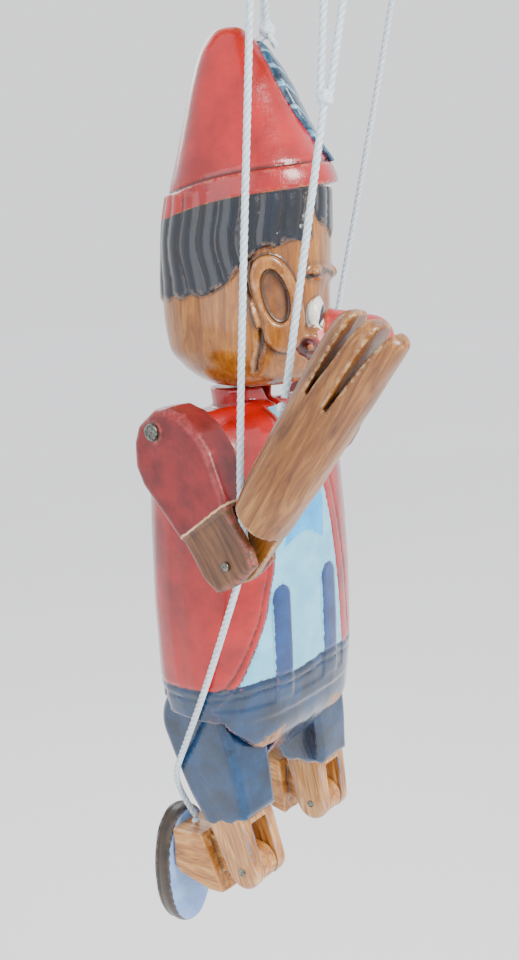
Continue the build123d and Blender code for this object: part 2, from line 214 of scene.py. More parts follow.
def smax(a, b, k):
    return -smin(-a, -b, k)


def sstep(a, b, x):
    t = np.clip((x - a) / (b - a), 0, 1)
    return t * t * (3 - 2 * t)


def ring_sd(x, y, a, b, n):
    """approximate distance to a superellipse with half axes a, b"""
    u = np.abs(x) / a + 1e-6
    v = np.abs(y) / b + 1e-6
    q = (u ** n + v ** n) ** (1.0 / n)
    gx = (u / q) ** (n - 1) / a
    gy = (v / q) ** (n - 1) / b
    return (q - 1) / np.sqrt(gx * gx + gy * gy)


def poly_sd(x, y, pts):
    """signed distance to a closed polygon, negative inside"""
    p = np.asarray(pts, float)
    d = np.full(np.shape(x), 1e18)
    s = np.ones(np.shape(x))
    n = len(p)
    j = n - 1
    for i in range(n):
        ex, ey = p[j][0] - p[i][0], p[j][1] - p[i][1]
        wx, wy = x - p[i][0], y - p[i][1]
        t = np.clip((wx * ex + wy * ey) / (ex * ex + ey * ey + 1e-12), 0, 1)
        bx, by = wx - ex * t, wy - ey * t
        d = np.minimum(d, bx * bx + by * by)
        c1, c2, c3 = y >= p[i][1], y < p[j][1], ex * wy > ey * wx
        flip = (c1 & c2 & c3) | (~c1 & ~c2 & ~c3)
        s = np.where(flip, -s, s)
        j = i
    return s * np.sqrt(d)


def line_sd(x, y, pts):
    """distance to an open polyline in a plane"""
    p = np.asarray(pts, float)
    d = np.full(np.shape(x), 1e18)
    for a, b in zip(p[:-1], p[1:]):
        ex, ey = b[0] - a[0], b[1] - a[1]
        wx, wy = x - a[0], y - a[1]
        t = np.clip((wx * ex + wy * ey) / (ex * ex + ey * ey + 1e-12), 0, 1)
        d = np.minimum(d, (wx - ex * t) ** 2 + (wy - ey * t) ** 2)
    return np.sqrt(d)


def seg_sd(P, a, b, ra, rb=None):
    """capsule or tapered capsule between two points"""
    rb = ra if rb is None else rb
    a = np.asarray(a, float)
    b = np.asarray(b, float)
    e = b - a
    w = [P[i] - a[i] for i in range(3)]
    t = np.clip(sum(w[i] * e[i] for i in range(3)) / (e @ e), 0, 1)
    return np.sqrt(sum((w[i] - e[i] * t) ** 2 for i in range(3))) - (ra + (rb - ra) * t)


def ell_sd(P, c, r):
    k0 = np.sqrt(sum(((P[i] - c[i]) / r[i]) ** 2 for i in range(3)))
    k1 = np.sqrt(sum(((P[i] - c[i]) / r[i] ** 2) ** 2 for i in range(3)))
    return k0 * (k0 - 1) / (k1 + 1e-9)


def wave(P, s, seed=0.0):
    """soft irregularity, about -1..1, period roughly s millimetres"""
    x, y, z = P
    return (np.sin(x / s * 6.3 + 1.7 * np.sin(y / s * 4.1 + seed) + seed * 2.3)
            + np.sin(y / s * 5.7 + 1.3 * np.sin(z / s * 3.7 + seed * 1.9) + 0.7)
            + np.sin(z / s * 4.9 + 1.9 * np.sin(x / s * 3.3 + seed) + seed)) / 3.0


def groove(d, dist, width, depth):
    """cuts a V groove of that width and depth where dist is small; d is the solid's distance"""
    return d + depth * np.clip(1 - np.abs(dist) / (width * 0.5), 0, 1)


# ---------------------------------------------------------------- torso
T_Z = [-11.0, -10.0, 0.0, 20.0, 40.0, 58.0, 70.0, 75.0, 78.6, 83.0]
T_A = spl(T_Z, [33.5, 33.6, 34.5, 34.8, 34.6, 34.0, 32.8, 30.2, 24.0, 14.0])
T_B = spl(T_Z, [20.5, 20.6, 21.5, 21.8, 21.2, 20.0, 18.2, 15.8, 11.6, 6.0])
HIP = (2.5, -14.0)
SH = (-6.1, 78.75)


def sd_torso(P, carve=True):
    x, y, z = P
    zc = np.clip(z, -11, 83)
    d = ring_sd(x, y, T_A(zc), T_B(zc), 2.8)
    d = smax(d, z - 79.2, 3.0)
    d = smax(d, -10.2 - z, 0.6)
    pel = smax(poly_sd(x, z, [(-32.8, 0), (32.8, 0), (32.2, -10.8), (12.0, -30.0), (-12.0, -30.0), (-32.2, -10.8)]),
               ring_sd(x, y, 33.0, 17.4 + 2.7 * sstep(-30, -8, z), 3.0), 1.2)
    pel = smax(pel, -0.766 * (y + 19.3) - 0.643 * (z + 17.0), 2.5)
    d = smin(d, smax(pel, z + 2.0, 0.5), 0.8)
    sh = np.sqrt((y - SH[0]) ** 2 + (z - 77.9) ** 2) - 3.2
    d = smin(d, smax(sh, np.abs(x) - 34.4, 1.0), 2.0)
    col = np.sqrt(x ** 2 + (y - 1.5) ** 2) - (8.9 + 0.4 * sstep(79, 85, z))
    col = smax(col, z - 85.1, 0.8)
    col = smax(col, 76.0 - z, 0.5)
    d = smin(d, col, 0.7)
    if carve:
        # open front of the collar
        cx, cy = x * math.cos(math.radians(20)) + y * math.sin(math.radians(20)), y * math.cos(math.radians(20)) - x * math.sin(math.radians(20))
        v = smax(np.abs(cx) - (z - 79.3) * 0.62, cy + 2.0, 0.3)
        d = smax(d, -smax(v, 78.0 - z, 0.4), 0.4)
    for s in (-1, 1):
        X = x * s
        c = np.sqrt((y - HIP[0]) ** 2 + (z - HIP[1]) ** 2) - 13.3
        a1, a2 = math.radians(24.0), math.radians(27.0)
        f = (HIP[0] - 13.3 * math.cos(a1), HIP[1] + 13.3 * math.sin(a1))
        b = (HIP[0] + 13.8 * math.cos(a2), HIP[1] + 13.8 * math.sin(a2))
        w = poly_sd(y, z, [HIP, f, (f[0] - 60 * math.sin(a1), f[1] - 60 * math.cos(a1)),
                           (b[0] + 60 * math.sin(a2), b[1] - 60 * math.cos(a2)), b])
        pocket = np.maximum(np.minimum(c, w), np.abs(X - 21.9) - 9.7)
        d = np.maximum(d, -pocket)
    return d


# ---------------------------------------------------------------- head, in its own frame facing -Y
H_Z = [85.7, 87.0, 89.0, 92.0, 98.0, 108.0, 118.0, 126.0, 135.0, 141.0]
H_YF = spl(H_Z, [-15.0, -19.5, -22.8, -24.5, -26.0, -26.6, -27.2, -27.6, -27.6, -27.6])
H_YB = spl(H_Z, [5.0, 9.5, 13.5, 17.0, 21.2, 22.2, 22.0, 21.3, 20.2, 19.0])
H_W = spl(H_Z, [11.5, 15.0, 17.6, 19.5, 21.5, 22.3, 22.6, 22.8, 22.6, 22.2])
HAT_Z = [134.0, 143.0, 147.0, 153.0, 162.0, 171.0, 179.4, 183.0, 186.0]
HAT_YF = spl(HAT_Z, [-29.6, -29.6, -28.4, -24.7, -20.0, -15.9, -10.4, -7.4, -4.2])
HAT_YB = spl(HAT_Z, [19.8, 18.2, 17.0, 15.2, 12.8, 10.2, 7.2, 5.0, 2.2])
HAT_W = spl(HAT_Z, [22.9, 22.2, 21.0, 18.8, 15.5, 12.4, 8.6, 6.2, 3.4])


def brim_z(x, y):
    """height of the hat's lower edge round the head"""
    return 137.6 - 0.155 * y + 0.6 * np.sin(np.arctan2(x, -y) * 3.0)


def sd_head(P):
    x, y, z = P
    zc = np.clip(z, 85.7, 141)
    yf, yb, w = H_YF(zc), H_YB(zc), H_W(zc)
    d = ring_sd(x, y - (yf + yb) / 2, w, (yb - yf) / 2, 2.45)
    d = smax(d, 85.8 - z, 1.5)
    face = d
    ax = np.abs(x)
    # hair stands 0.7 proud of the face behind a hairline
    hl = hair_edge(x, y, z)
    hair = face - 0.75
    strands = np.abs(np.sin(np.arctan2(x, -(y + 2.0)) * 13.0 + 0.6 * np.sin(z * 0.11) + 0.35 * np.sin(z * 0.31))) ** 0.6
    hair = hair + 0.75 * (1 - strands)
    hair = smax(hair, hl, 0.7)
    d = np.minimum(face, hair)
    # ear in relief
    ey, ez = y + 13.4, z - 109.5
    ca, sa = math.cos(math.radians(-12)), math.sin(math.radians(-12))
    e1, e2 = ey * ca + ez * sa, -ey * sa + ez * ca
    ear2 = ring_sd(e1, e2, 6.9, 13.6, 2.2)
    ear = smax(ear2, face - 2.3, 1.2)
    d = np.where(ax > 12, smin(d, ear, 0.5), d)
    bowl = ring_sd(e1 + 0.4, e2 - 2.2, 3.6, 7.6, 2.1)
    d = np.where(ax > 12, smax(d, -(smax(bowl, -(face + 0.2), 0.8)), 0.9), d)
    # long curved cut behind the ear and down the cheek
    cut = line_sd(y, z, [(-6.6, 121.5), (-5.8, 117.0), (-7.4, 111.0), (-9.4, 105.0), (-8.6, 98.6), (-6.9, 94.0), (-6.6, 91.5)])
    d = np.where(ax > 10, d + 1.1 * np.clip(1 - cut / 1.25, 0, 1), d)
    # eye socket, eyes, cheeks, mouth
    for s in (-1, 1):
        X = x * s
        sock = ell_sd((X, y, z), (10.6, -30.8, 108.0), (6.2, 5.6, 7.6))
        d = smax(d, -sock, 2.4)
        eye = ell_sd((X, y, z), (11.2, -22.6, 106.2), (5.0, 3.6, 5.4))
        d = smin(d, eye, 0.35)
        chk = ell_sd((X, y, z), (13.0, -22.0, 98.6), (5.6, 4.2, 4.2))
        d = smin(d, chk, 2.2)
        brow = seg_sd((X, y, z), (4.5, -27.4, 117.0), (15.5, -24.2, 117.6), 1.4)
        d = smin(d, brow, 2.2)
    mouth = line_sd(x, z, [(-17.8, 99.0), (-15.8, 95.7), (-11.0, 92.6), (-5.0, 90.8), (0, 90.4), (5.0, 90.8), (11.0, 92.6), (15.8, 95.7), (17.8, 99.0)])
    d = np.where(y < -8, d + 1.1 * np.clip(1 - mouth / 1.1, 0, 1), d)
    # chisel planes
    d = d + 0.14 * wave(P, 13.0, 1.0)
    # hat
    zc = np.clip(z, 134, 186)
    yf, yb, w = HAT_YF(zc), HAT_YB(zc), HAT_W(zc)
    h = ring_sd(x, y - (yf + yb) / 2, w, (yb - yf) / 2, 2.4)
    h = h * 0.93
    h = smax(h, z - 185.6, 1.4)
    bz = brim_z(x, y)
    band = smax(h - 0.55, z - (bz + 6.2), 0.6)
    h = smin(h + 0.12 * wave(P, 17.0, 4.0), band, 0.4)
    h = smax(h, bz - z, 0.5)
    gr = np.abs(z - (bz + 6.6))
    h = h + 0.45 * np.clip(1 - gr / 0.7, 0, 1)
    d = smax(d, z - 141.0, 0.5)
    return np.minimum(d, h)


def hair_edge(x, y, z):
    """negative where the hair is: over the ears, down to the nape, with a forelock over the brow"""
    low = np.interp(y, [-34, -26, -22, -16.6, -8.2, -6.2, 3.5, 16.9, 30], [127.4, 127.0, 126.6, 126.2, 123.9, 121.4, 113.4, 112.6, 112.2])
    back = sstep(12, 22, y)
    low = low + 0.5 * np.sin(np.arctan2(x, -y) * 21.0) - 0.4 * back
    side = low - z
    fore = poly_sd(x, z, [(-16, 142), (-13, 131.5), (-7, 129.6), (-4, 127.0), (-1.5, 126.4), (3, 129.5), (9, 130.4), (14, 132.0), (16, 142)])
    fore = np.maximum(fore, y + 12)
    return np.where(y < -19.5, np.minimum(np.maximum(side, np.abs(20.0 - np.abs(x)) - 4.4), fore), side)


def sd_feather(P):
    x, y, z = P
    zc = np.clip(z, 134, 186)
    yf, yb, w = HAT_YF(zc), HAT_YB(zc), HAT_W(zc)
    h = 0.93 * ring_sd(x, y - (yf + yb) / 2, w, (yb - yf) / 2, 2.4)
    leaf = poly_sd(x, z, [(-1, 182.0), (-5.6, 178), (-8.6, 170), (-8.2, 160), (-5, 152), (-1, 147.7), (3, 148.2), (5.8, 154), (6.3, 163),
                          (4.9, 173), (2, 179.6)])
    mid = line_sd(x, z, [(-1.4, 181), (-1.2, 165), (0.6, 149)])
    d = smax(h - 1.7 + 0.25 * np.clip(1 - mid / 1.2, 0, 1), leaf + 0.2, 0.9)
    d = smax(d, -(h + 0.25), 0.2)
    for k in range(5):
        zz = 152.5 + 6.0 * k
        v = line_sd(x, z, [(-9.5, zz + 5.0), (-1.0, zz), (7.5, zz + 5.0)])
        d = d + 0.22 * np.clip(1 - v / 0.8, 0, 1)
    d = smax(d, y + 2.0, 0.3)
    return smax(d, -(np.sqrt((x + 0.4) ** 2 + (y + 11.9) ** 2 + (z - 184.2) ** 2) - 2.7), 0.3)


def sd_nose(P):
    x, y, z = P
    a = np.array([0, -22.0, 100.6])
    b = np.array([0, -38.0, 97.2])
    d = seg_sd(P, a, b, 6.9, 7.15)
    d = smax(d, y + 25.4, 0.4)
    return d + 0.10 * wave(P, 9.0, 2.0)


# ---------------------------------------------------------------- limbs, right side, in local frames
ARM_PTS = [(-3, 5.2), (4.7, 4.4), (8.6, 1.5), (12.6, -4), (13.6, -9.4), (12.6, -15), (10.6, -28), (10.6, -40), (8.5, -46.0),
           (0, -47.1), (-8.6, -45.3), (-9.8, -41), (-9.6, -30), (-11.3, -22), (-13.1, -14), (-12.8, -8), (-10.5, -1), (-7, 3.2)]


def sd_arm(P):
    x, y, z = P
    o = poly_sd(y, z, ARM_PTS) + 0.9
    fork = sstep(-27.2, -28.4, z)
    o = smax(o, -1e3 * np.ones_like(o), 0.1) - 0.9
    out = -47.05 - x
    inn = x + 35.65
    edge = 2.4 + 0 * z
    # rounded outer edges
    u = np.maximum(o + edge, 0)
    v = np.maximum(out + edge, 0)
    d = np.minimum(np.maximum(o + edge, out + edge), 0) + np.sqrt(u * u + v * v) - edge
    d = smax(d, inn, 1.0)
    d = d + 0.55 * fork * sstep(0.0, -1.5, z + 27.6)
    d = d + 0.13 * wave((x, y, z), 11.0, 3.0)
    slot = np.maximum(np.abs(x + 40.95) - 2.95, z + 28.3)
    d = smax(d, -slot, 0.3)
    hole = np.sqrt(y ** 2 + z ** 2) - 1.4
    d = np.maximum(d, -hole)
    nail_seat = np.maximum(np.sqrt(y ** 2 + z ** 2) - 2.9, -(x + 46.6))
    return smax(d, -nail_seat, 0.4)


F_U = [14.2, 15.4, 25.0, 37.0, 47.0, 59.0, 70.0, 76.5, 80.5]
F_C = spl(F_U, [0.3, 0.3, 0.2, 0.2, 0.4, 0.5, 0.8, 1.6, 2.4])
F_A = spl(F_U, [6.5, 6.7, 6.9, 6.7, 6.3, 6.4, 6.0, 5.0, 3.4])
F_B = spl(F_U, [7.2, 7.4, 8.2, 8.8, 8.9, 9.2, 9.3, 8.6, 7.0])


def sd_fore(P):
    x, y, z = P
    u = -z
    uc = np.clip(u, 14.2, 80.5)
    d = ring_sd(x + 42.6, y - F_C(uc), F_A(uc), F_B(uc), 2.5)
    end = u - (77.6 + 0.14 * y)
    d = smax(d, end, 3.0)
    cuff = 15.2 - u + 0.02 * y * y - 0.12 * y
    d = smax(d, cuff, 0.7)
    # fingers: two long cuts that open towards the tips, and tapered tips
    for v0, v1 in ((-3.4, -1.9), (2.9, 4.9)):
        vv = v0 + (v1 - v0) * np.clip((u - 54) / 26, 0, 1)
        wid = 0.55 + 1.0 * np.clip((u - 56) / 24, 0, 1)
        cut = smax(np.abs(y - vv) - wid, 54.5 - u, 0.8)
        d = smax(d, -cut, 0.7)
    for v0 in (-6.2, 0.9, 7.8):
        tip = ell_sd((x, y, u), (-42.8, v0 + 0.6, 66.0), (7.0, 5.4, 13.6 + 0.12 * v0))
        d = np.where((u > 70) & (np.abs(y - v0 - 0.6) < 3.6), smax(d, tip, 0.8), d)
    d = d + 0.16 * wave(P, 12.0, 5.0)
    ton = poly_sd(y, z, [(-6.0, 0), (6.0, 0), (7.0, -19), (-6.6, -19)])
    ton = np.minimum(ton, np.sqrt(y * y + z * z) - 5.9)
    ton = smax(ton, np.abs(x + 39.8) - 1.42, 0.4)
    rib = smax(smax(poly_sd(y, z, [(-1.5, -9.5), (5.5, -10.5), (6.6, -19), (-3.5, -19)]), np.abs(x + 42.3) - 1.6, 0.4), -2.0 * np.ones_like(x), 0.1)
    d = smin(d, ton, 0.6)
    d = smin(d, smax(rib, 13.2 - u, 0.4), 0.3)
    hole = np.sqrt(y ** 2 + z ** 2) - 1.0
    return np.maximum(d, -hole)


def sd_thigh(P):
    x, y, z = P
    prof = np.minimum(poly_sd(y, z, [(-12.8, 0), (-12.5, -8), (-11.0, -20), (-8.8, -32.0), (8.4, -32.0), (11.3, -20), (12.6, -8), (12.8, 0)]),
                      np.sqrt(y * y + z * z) - 12.8)
    front = poly_sd(x, z, [(-31.15, 14), (-12.55, 14), (-12.55, -6), (-15.9, -31.5), (-31.15, -31.5)])
    hem = -30.6 + 0.5 * np.sin(y * 0.9 + 0.6) + 0.05 * y + 0.3 * np.sin(x * 0.8)
    u, v = np.maximum(prof + 2.6, 0), np.maximum(front + 2.6, 0)
    leg = np.minimum(np.maximum(prof + 2.6, front + 2.6), 0) + np.sqrt(u * u + v * v) - 2.6
    leg = smax(leg, hem - z, 0.5)
    leg = leg + 0.12 * wave(P, 14.0, 6.0)
    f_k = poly_sd(y, z, [(-7.6, -25), (7.6, -25), (5.7, -46.0), (3.9, -50.2), (-3.9, -50.2), (-5.7, -46.0)])
    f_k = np.minimum(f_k, np.sqrt(y * y + (z + 46) ** 2) - 5.7)
    fx = np.abs(x + 23.7) - 7.3
    u, v = np.maximum(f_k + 1.0, 0), np.maximum(fx + 1.0, 0)
    fork = np.minimum(np.maximum(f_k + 1.0, fx + 1.0), 0) + np.sqrt(u * u + v * v) - 1.0
    fork = fork + 0.08 * wave(P, 9.0, 2.0)
    d = smin(leg, smax(fork, z + 20, 0.5), 0.3)
    slot = np.maximum(np.abs(x + 23.75) - 3.5, z + 33.0)
    d = smax(d, -slot, 0.3)
    hole = np.maximum(np.sqrt(y ** 2 + z ** 2) - 1.6, -28.4 - x)
    return np.maximum(d, -hole)


def sd_shin(P):
    x, y, z = P
    t = poly_sd(y, z, [(-5.4, 0), (5.4, 0), (5.4, -19), (-5.4, -19)])
    t = np.minimum(t, np.sqrt(y * y + z * z) - 5.4)
    t = smax(t, np.abs(x + 23.75) - 3.05, 0.5)
    c = poly_sd(y, z, [(-11.0, -9.0), (7.0, -16.0), (6.0, -27.0), (-7.0, -27.0), (-11.4, -14.0)])
    w = 6.0 + 2.5 * np.clip((-z - 8) / 19.0, 0, 1)
    cx = np.abs(x + 23.75) - w
    u, v = np.maximum(c + 1.6, 0), np.maximum(cx + 1.6, 0)
    calf = np.minimum(np.maximum(c + 1.6, cx + 1.6), 0) + np.sqrt(u * u + v * v) - 1.6
    calf = smin(calf, smax(smax(c, cx, 0.4), -25.5 - z, 0.1) + 0.0, 0.2)
    calf = calf + 0.14 * wave(P, 9.0, 1.0)
    d = smin(t, calf, 0.8)
    return np.maximum(d, -(np.sqrt(y * y + z * z) - 1.3))


def sd_shoe(P):
    x, y, z = P
    r = ring_sd(x + 24.0, y + 10.0, 10.6, 19.9, 2.25)
    d = smax(r + 0.35 * np.maximum(z + 29.2, 0), -33.4 - z, 0.9)
    d = smax(d, z + 27.05, 1.1)
    groovez = np.abs(z + 31.4)
    d = d + 0.25 * np.clip(1 - groovez / 0.5, 0, 1) * (r > -1.5)
    return d + 0.12 * wave(P, 11.0, 3.0)


# ---------------------------------------------------------------- meshing
def turn_x(P, deg):
    a = math.radians(deg)
    y, z = P[:, 1].copy(), P[:, 2].copy()
    P[:, 1], P[:, 2] = y * math.cos(a) - z * math.sin(a), y * math.sin(a) + z * math.cos(a)
    return P


def turn_z(P, deg):
    a = math.radians(deg)
    x, y = P[:, 0].copy(), P[:, 1].copy()
    P[:, 0], P[:, 1] = x * math.cos(a) - y * math.sin(a), x * math.sin(a) + y * math.cos(a)
    return P


def sample(D, lo, h, P):
    q = (P - lo) / h
    n = np.array(D.shape)
    i = np.clip(np.floor(q).astype(int), 0, n - 2)
    f = np.clip(q - i, 0, 1)
    out = 0
    for a in (0, 1):
        for b in (0, 1):
            for c in (0, 1):
                w = (f[:, 0] if a else 1 - f[:, 0]) * (f[:, 1] if b else 1 - f[:, 1]) * (f[:, 2] if c else 1 - f[:, 2])
                out = out + w * D[i[:, 0] + a, i[:, 1] + b, i[:, 2] + c]
    return out


def surface(sd, lo, hi, h):
    """points, quads and a curvature value of the surface of sd in the box"""
    h = h * COARSE
    lo, hi = np.array(lo, float), np.array(hi, float)
    ax = [np.arange(lo[i], hi[i] + h, h) for i in range(3)]
    X, Y, Z = np.meshgrid(*ax, indexing="ij")
    D = np.asarray(sd((X, Y, Z)), np.float32)
    D = np.clip(D, -6 * h, 6 * h)
    g = vdb.FloatGrid(float(6 * h))
    g.copyFromArray(D)
    pts, quads = g.convertToQuads(0.0)
    P = lo + np.asarray(pts, float) * h
    Q = np.asarray(quads, int)
    k = max(1, int(round(0.9 / h)))
    L = np.zeros_like(D)
    c = D[k:-k, k:-k, k:-k]
    L[k:-k, k:-k, k:-k] = (D[2 * k:, k:-k, k:-k] + D[:-2 * k, k:-k, k:-k] + D[k:-k, 2 * k:, k:-k] + D[k:-k, :-2 * k, k:-k]
                           + D[k:-k, k:-k, 2 * k:] + D[k:-k, k:-k, :-2 * k] - 6 * c) / (k * h)
    return P, Q, sample(L, lo, h, P)


def make_object(name, P, Q, attrs, local, body, nodes, mirror=False):
    """P in torso millimetres"""
    me = bpy.data.meshes.new(name)
    V = (P - GRIP) / 1000.0
    Q = np.asarray(Q, int)
    a, b, c = V[Q[:, 0]], V[Q[:, 1]], V[Q[:, 2]]
    d = V[Q[:, 3]] if Q.shape[1] == 4 else c
    vol = (np.einsum("ij,ij->i", a, np.cross(b, c)) + np.einsum("ij,ij->i", a, np.cross(c, d))).sum()
    if vol < 0:
        Q = Q[:, ::-1]
    k = Q.shape[1]
    me.vertices.add(len(V))
    me.vertices.foreach_set("co", V.astype(np.float32).ravel())
    me.loops.add(Q.size)
    me.loops.foreach_set("vertex_index", Q.astype(np.int32).ravel())
    me.polygons.add(len(Q))
    me.polygons.foreach_set("loop_start", np.arange(0, Q.size, k, dtype=np.int32))
    me.polygons.foreach_set("loop_total", np.full(len(Q), k, np.int32))
    me.update(calc_edges=True)
    me.validate()
    me.polygons.foreach_set("use_smooth", np.ones(len(me.polygons), bool))
    at = me.attributes.new("lp", "FLOAT_VECTOR", "POINT")
    at.data.foreach_set("vector", local.astype(np.float32).ravel())
    for key, val in attrs.items():
        at = me.attributes.new(key, "FLOAT", "POINT")
        at.data.foreach_set("value", np.asarray(val, np.float32).ravel())
    ob = bpy.data.objects.new(name, me)
    bpy.context.scene.collection.objects.link(ob)
    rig.ride(ob, body)
    if nodes:
        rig.replaces(ob, *nodes)
    return ob


def piece(name, sd, lo, hi, h, to_torso, body, nodes, mat, paint=None, slot=None):
    P, Q, curv = surface(sd, lo, hi, h)
    attrs = {"curv": curv}
    if paint:
        attrs.update(paint(P[:, 0], P[:, 1], P[:, 2]))
    ob = make_object(name, to_torso(P.copy()), Q, attrs, P, body, nodes)
    ob.data.materials.append(mat)
    if slot:
        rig.slot(ob, slot)
    return ob


def limb(name, sd, lo, hi, h, deg, y, z, side, body, nodes, mat, paint=None, slot=None):
    def place(P):
        P = turn_x(P, deg)
        P[:, 1] += y
        P[:, 2] += z
        if side == "left":
            P[:, 0] *= -1
        return P
    return piece(name, sd, lo, hi, h, place, body, nodes, mat, paint, slot)


def turned(profile, count=40):
    """points and quads of a turned shape about local X, profile of (x, r); both ends closed on the axis"""
    prof = [(profile[0][0], 0.0)] + list(profile) + [(profile[-1][0], 0.0)]
    P, Q = [], []
    for x, r in prof:
        for i in range(count):
            a = 2 * math.pi * i / count
            P.append((x, max(r, 1e-3) * math.cos(a), max(r, 1e-3) * math.sin(a)))
    for k in range(len(prof) - 1):
        for i in range(count):
            j = (i + 1) % count
            Q.append((k * count + i, k * count + j, (k + 1) * count + j, (k + 1) * count + i))
    return np.array(P), np.array(Q)


def smooth_profile(pts, step=0.12):
    out = [pts[0]]
    for a, b in zip(pts[:-1], pts[1:]):
        n = max(1, int(math.hypot(b[0] - a[0], b[1] - a[1]) / step))
        out += [(a[0] + (b[0] - a[0]) * i / n, a[1] + (b[1] - a[1]) * i / n) for i in range(1, n + 1)]
    return out


def turned_piece(name, profile, origin, axis, body, nodes, mat, slot=None, dent=0.05):
    P, Q = turned(profile)
    r = np.hypot(P[:, 1], P[:, 2])
    ang = np.arctan2(P[:, 2], P[:, 1])
    wob = 1 + dent * 0.3 * np.sin(ang * 3 + P[:, 0]) * (r > 0.05)
    L = P * np.stack([np.ones_like(wob), wob, wob], 1)
    ax = np.array(axis, float)
    ax /= np.linalg.norm(ax)
    t = np.array([0, 0, 1.0]) if abs(ax[2]) < 0.9 else np.array([0, 1.0, 0])
    e1 = np.cross(t, ax)
    e1 /= np.linalg.norm(e1)
    e2 = np.cross(ax, e1)
    W = np.array(origin, float) + L[:, :1] * ax + L[:, 1:2] * e1 + L[:, 2:3] * e2
    ob = make_object(name, W, Q, {"curv": np.zeros(len(W))}, L, body, nodes)
    ob.data.materials.append(mat)
    if slot:
        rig.slot(ob, slot)
    return ob


# ---------------------------------------------------------------- materials
def srgb(r, g, b):
    return tuple(((v / 255) / 12.92 if v / 255 <= 0.04045 else ((v / 255 + 0.055) / 1.055) ** 2.4) for v in (r, g, b)) + (1.0,)


class Mat:
    def __init__(self, name):
        self.m = bpy.data.materials.new(name)
        self.m.use_nodes = True
        self.t = self.m.node_tree
        self.t.nodes.clear()
        self.out = self.n("ShaderNodeOutputMaterial")
        self.b = self.n("ShaderNodeBsdfPrincipled")
        self.t.links.new(self.b.outputs[0], self.out.inputs[0])
        a = self.n("ShaderNodeAttribute", attribute_name="lp")
        self.lp = a.outputs["Vector"]

    def n(self, kind, **kw):
        o = self.t.nodes.new(kind)
        for k, v in kw.items():
            setattr(o, k, v)
        return o

    def link(self, a, b):
        self.t.links.new(a, b)

    def put(self, sock, v):
        if hasattr(v, "is_output"):
            self.link(v, sock)
        else:
            sock.default_value = v

    def attr(self, name):
        return self.n("ShaderNodeAttribute", attribute_name=name).outputs["Fac"]

    def math(self, op, a, b=0.0, clamp=False):
        o = self.n("ShaderNodeMath", operation=op, use_clamp=clamp)
        self.put(o.inputs[0], a)
        self.put(o.inputs[1], b)
        return o.outputs[0]

    def remap(self, v, a, b, c=0.0, d=1.0):
        o = self.n("ShaderNodeMapRange")
        self.put(o.inputs[0], v)
        for i, x in enumerate((a, b, c, d)):
            o.inputs[i + 1].default_value = x
        return o.outputs[0]

    def noise(self, scale, detail=4.0, rough=0.55, vec=None, stretch=None, dist=0.0):
        v = vec or self.lp
        if stretch:
            mp = self.n("ShaderNodeMapping")
            self.link(v, mp.inputs[0])
            mp.inputs["Scale"].default_value = stretch
            v = mp.outputs[0]
        o = self.n("ShaderNodeTexNoise")
        self.link(v, o.inputs["Vector"])
        o.inputs["Scale"].default_value = scale
        o.inputs["Detail"].default_value = detail
        o.inputs["Roughness"].default_value = rough
        o.inputs["Distortion"].default_value = dist
        return o.outputs[0]

    def ramp(self, fac, stops):
        o = self.n("ShaderNodeValToRGB")
        self.put(o.inputs[0], fac)
        e = o.color_ramp.elements
        while len(e) < len(stops):
            e.new(0.5)
        for el, (p, c) in zip(e, stops):
            el.position = p
            el.color = c
        return o.outputs[0]

    def mix(self, fac, a, b):
        o = self.n("ShaderNodeMix", data_type="RGBA")
        self.put(o.inputs[0], fac)
        self.put(o.inputs[6], a)
        self.put(o.inputs[7], b)
        return o.outputs[2]

    def mixf(self, fac, a, b):
        o = self.n("ShaderNodeMix", data_type="FLOAT")
        self.put(o.inputs[0], fac)
        self.put(o.inputs[2], a)
        self.put(o.inputs[3], b)
        return o.outputs[0]

    def wood(self, dark, mid, light, along=(1, 1, 0.12), scale=0.35):
        g = self.noise(scale, 5.0, 0.6, stretch=along, dist=1.2)
        fine = self.noise(scale * 6, 3.0, 0.6, stretch=(along[0], along[1], along[2] * 0.5))
        f = self.math("ADD", self.math("MULTIPLY", g, 0.75), self.math("MULTIPLY", fine, 0.25))
        return self.ramp(f, [(0.34, dark), (0.5, mid), (0.66, light)]), fine

    def paint(self, base, vary, scale=0.12):
        f = self.noise(scale, 5.0, 0.6)
        return self.ramp(f, [(0.36, vary), (0.62, base)])

    def finish(self, color, rough, bump, depth=0.00012, spec=0.5, coat=0.0):
        self.put(self.b.inputs["Base Color"], color)
        self.put(self.b.inputs["Roughness"], rough)
        self.b.inputs["Specular IOR Level"].default_value = spec
        self.b.inputs["Coat Weight"].default_value = coat
        self.b.inputs["Coat Roughness"].default_value = 0.12
        o = self.n("ShaderNodeBump")
        o.inputs["Strength"].default_value = 0.9
        o.inputs["Distance"].default_value = depth
        self.link(bump, o.inputs["Height"])
        self.link(o.outputs[0], self.b.inputs["Normal"])
        return self.m


W_DARK, W_MID, W_LIGHT = srgb(74, 40, 8), srgb(140, 90, 34), srgb(186, 138, 74)


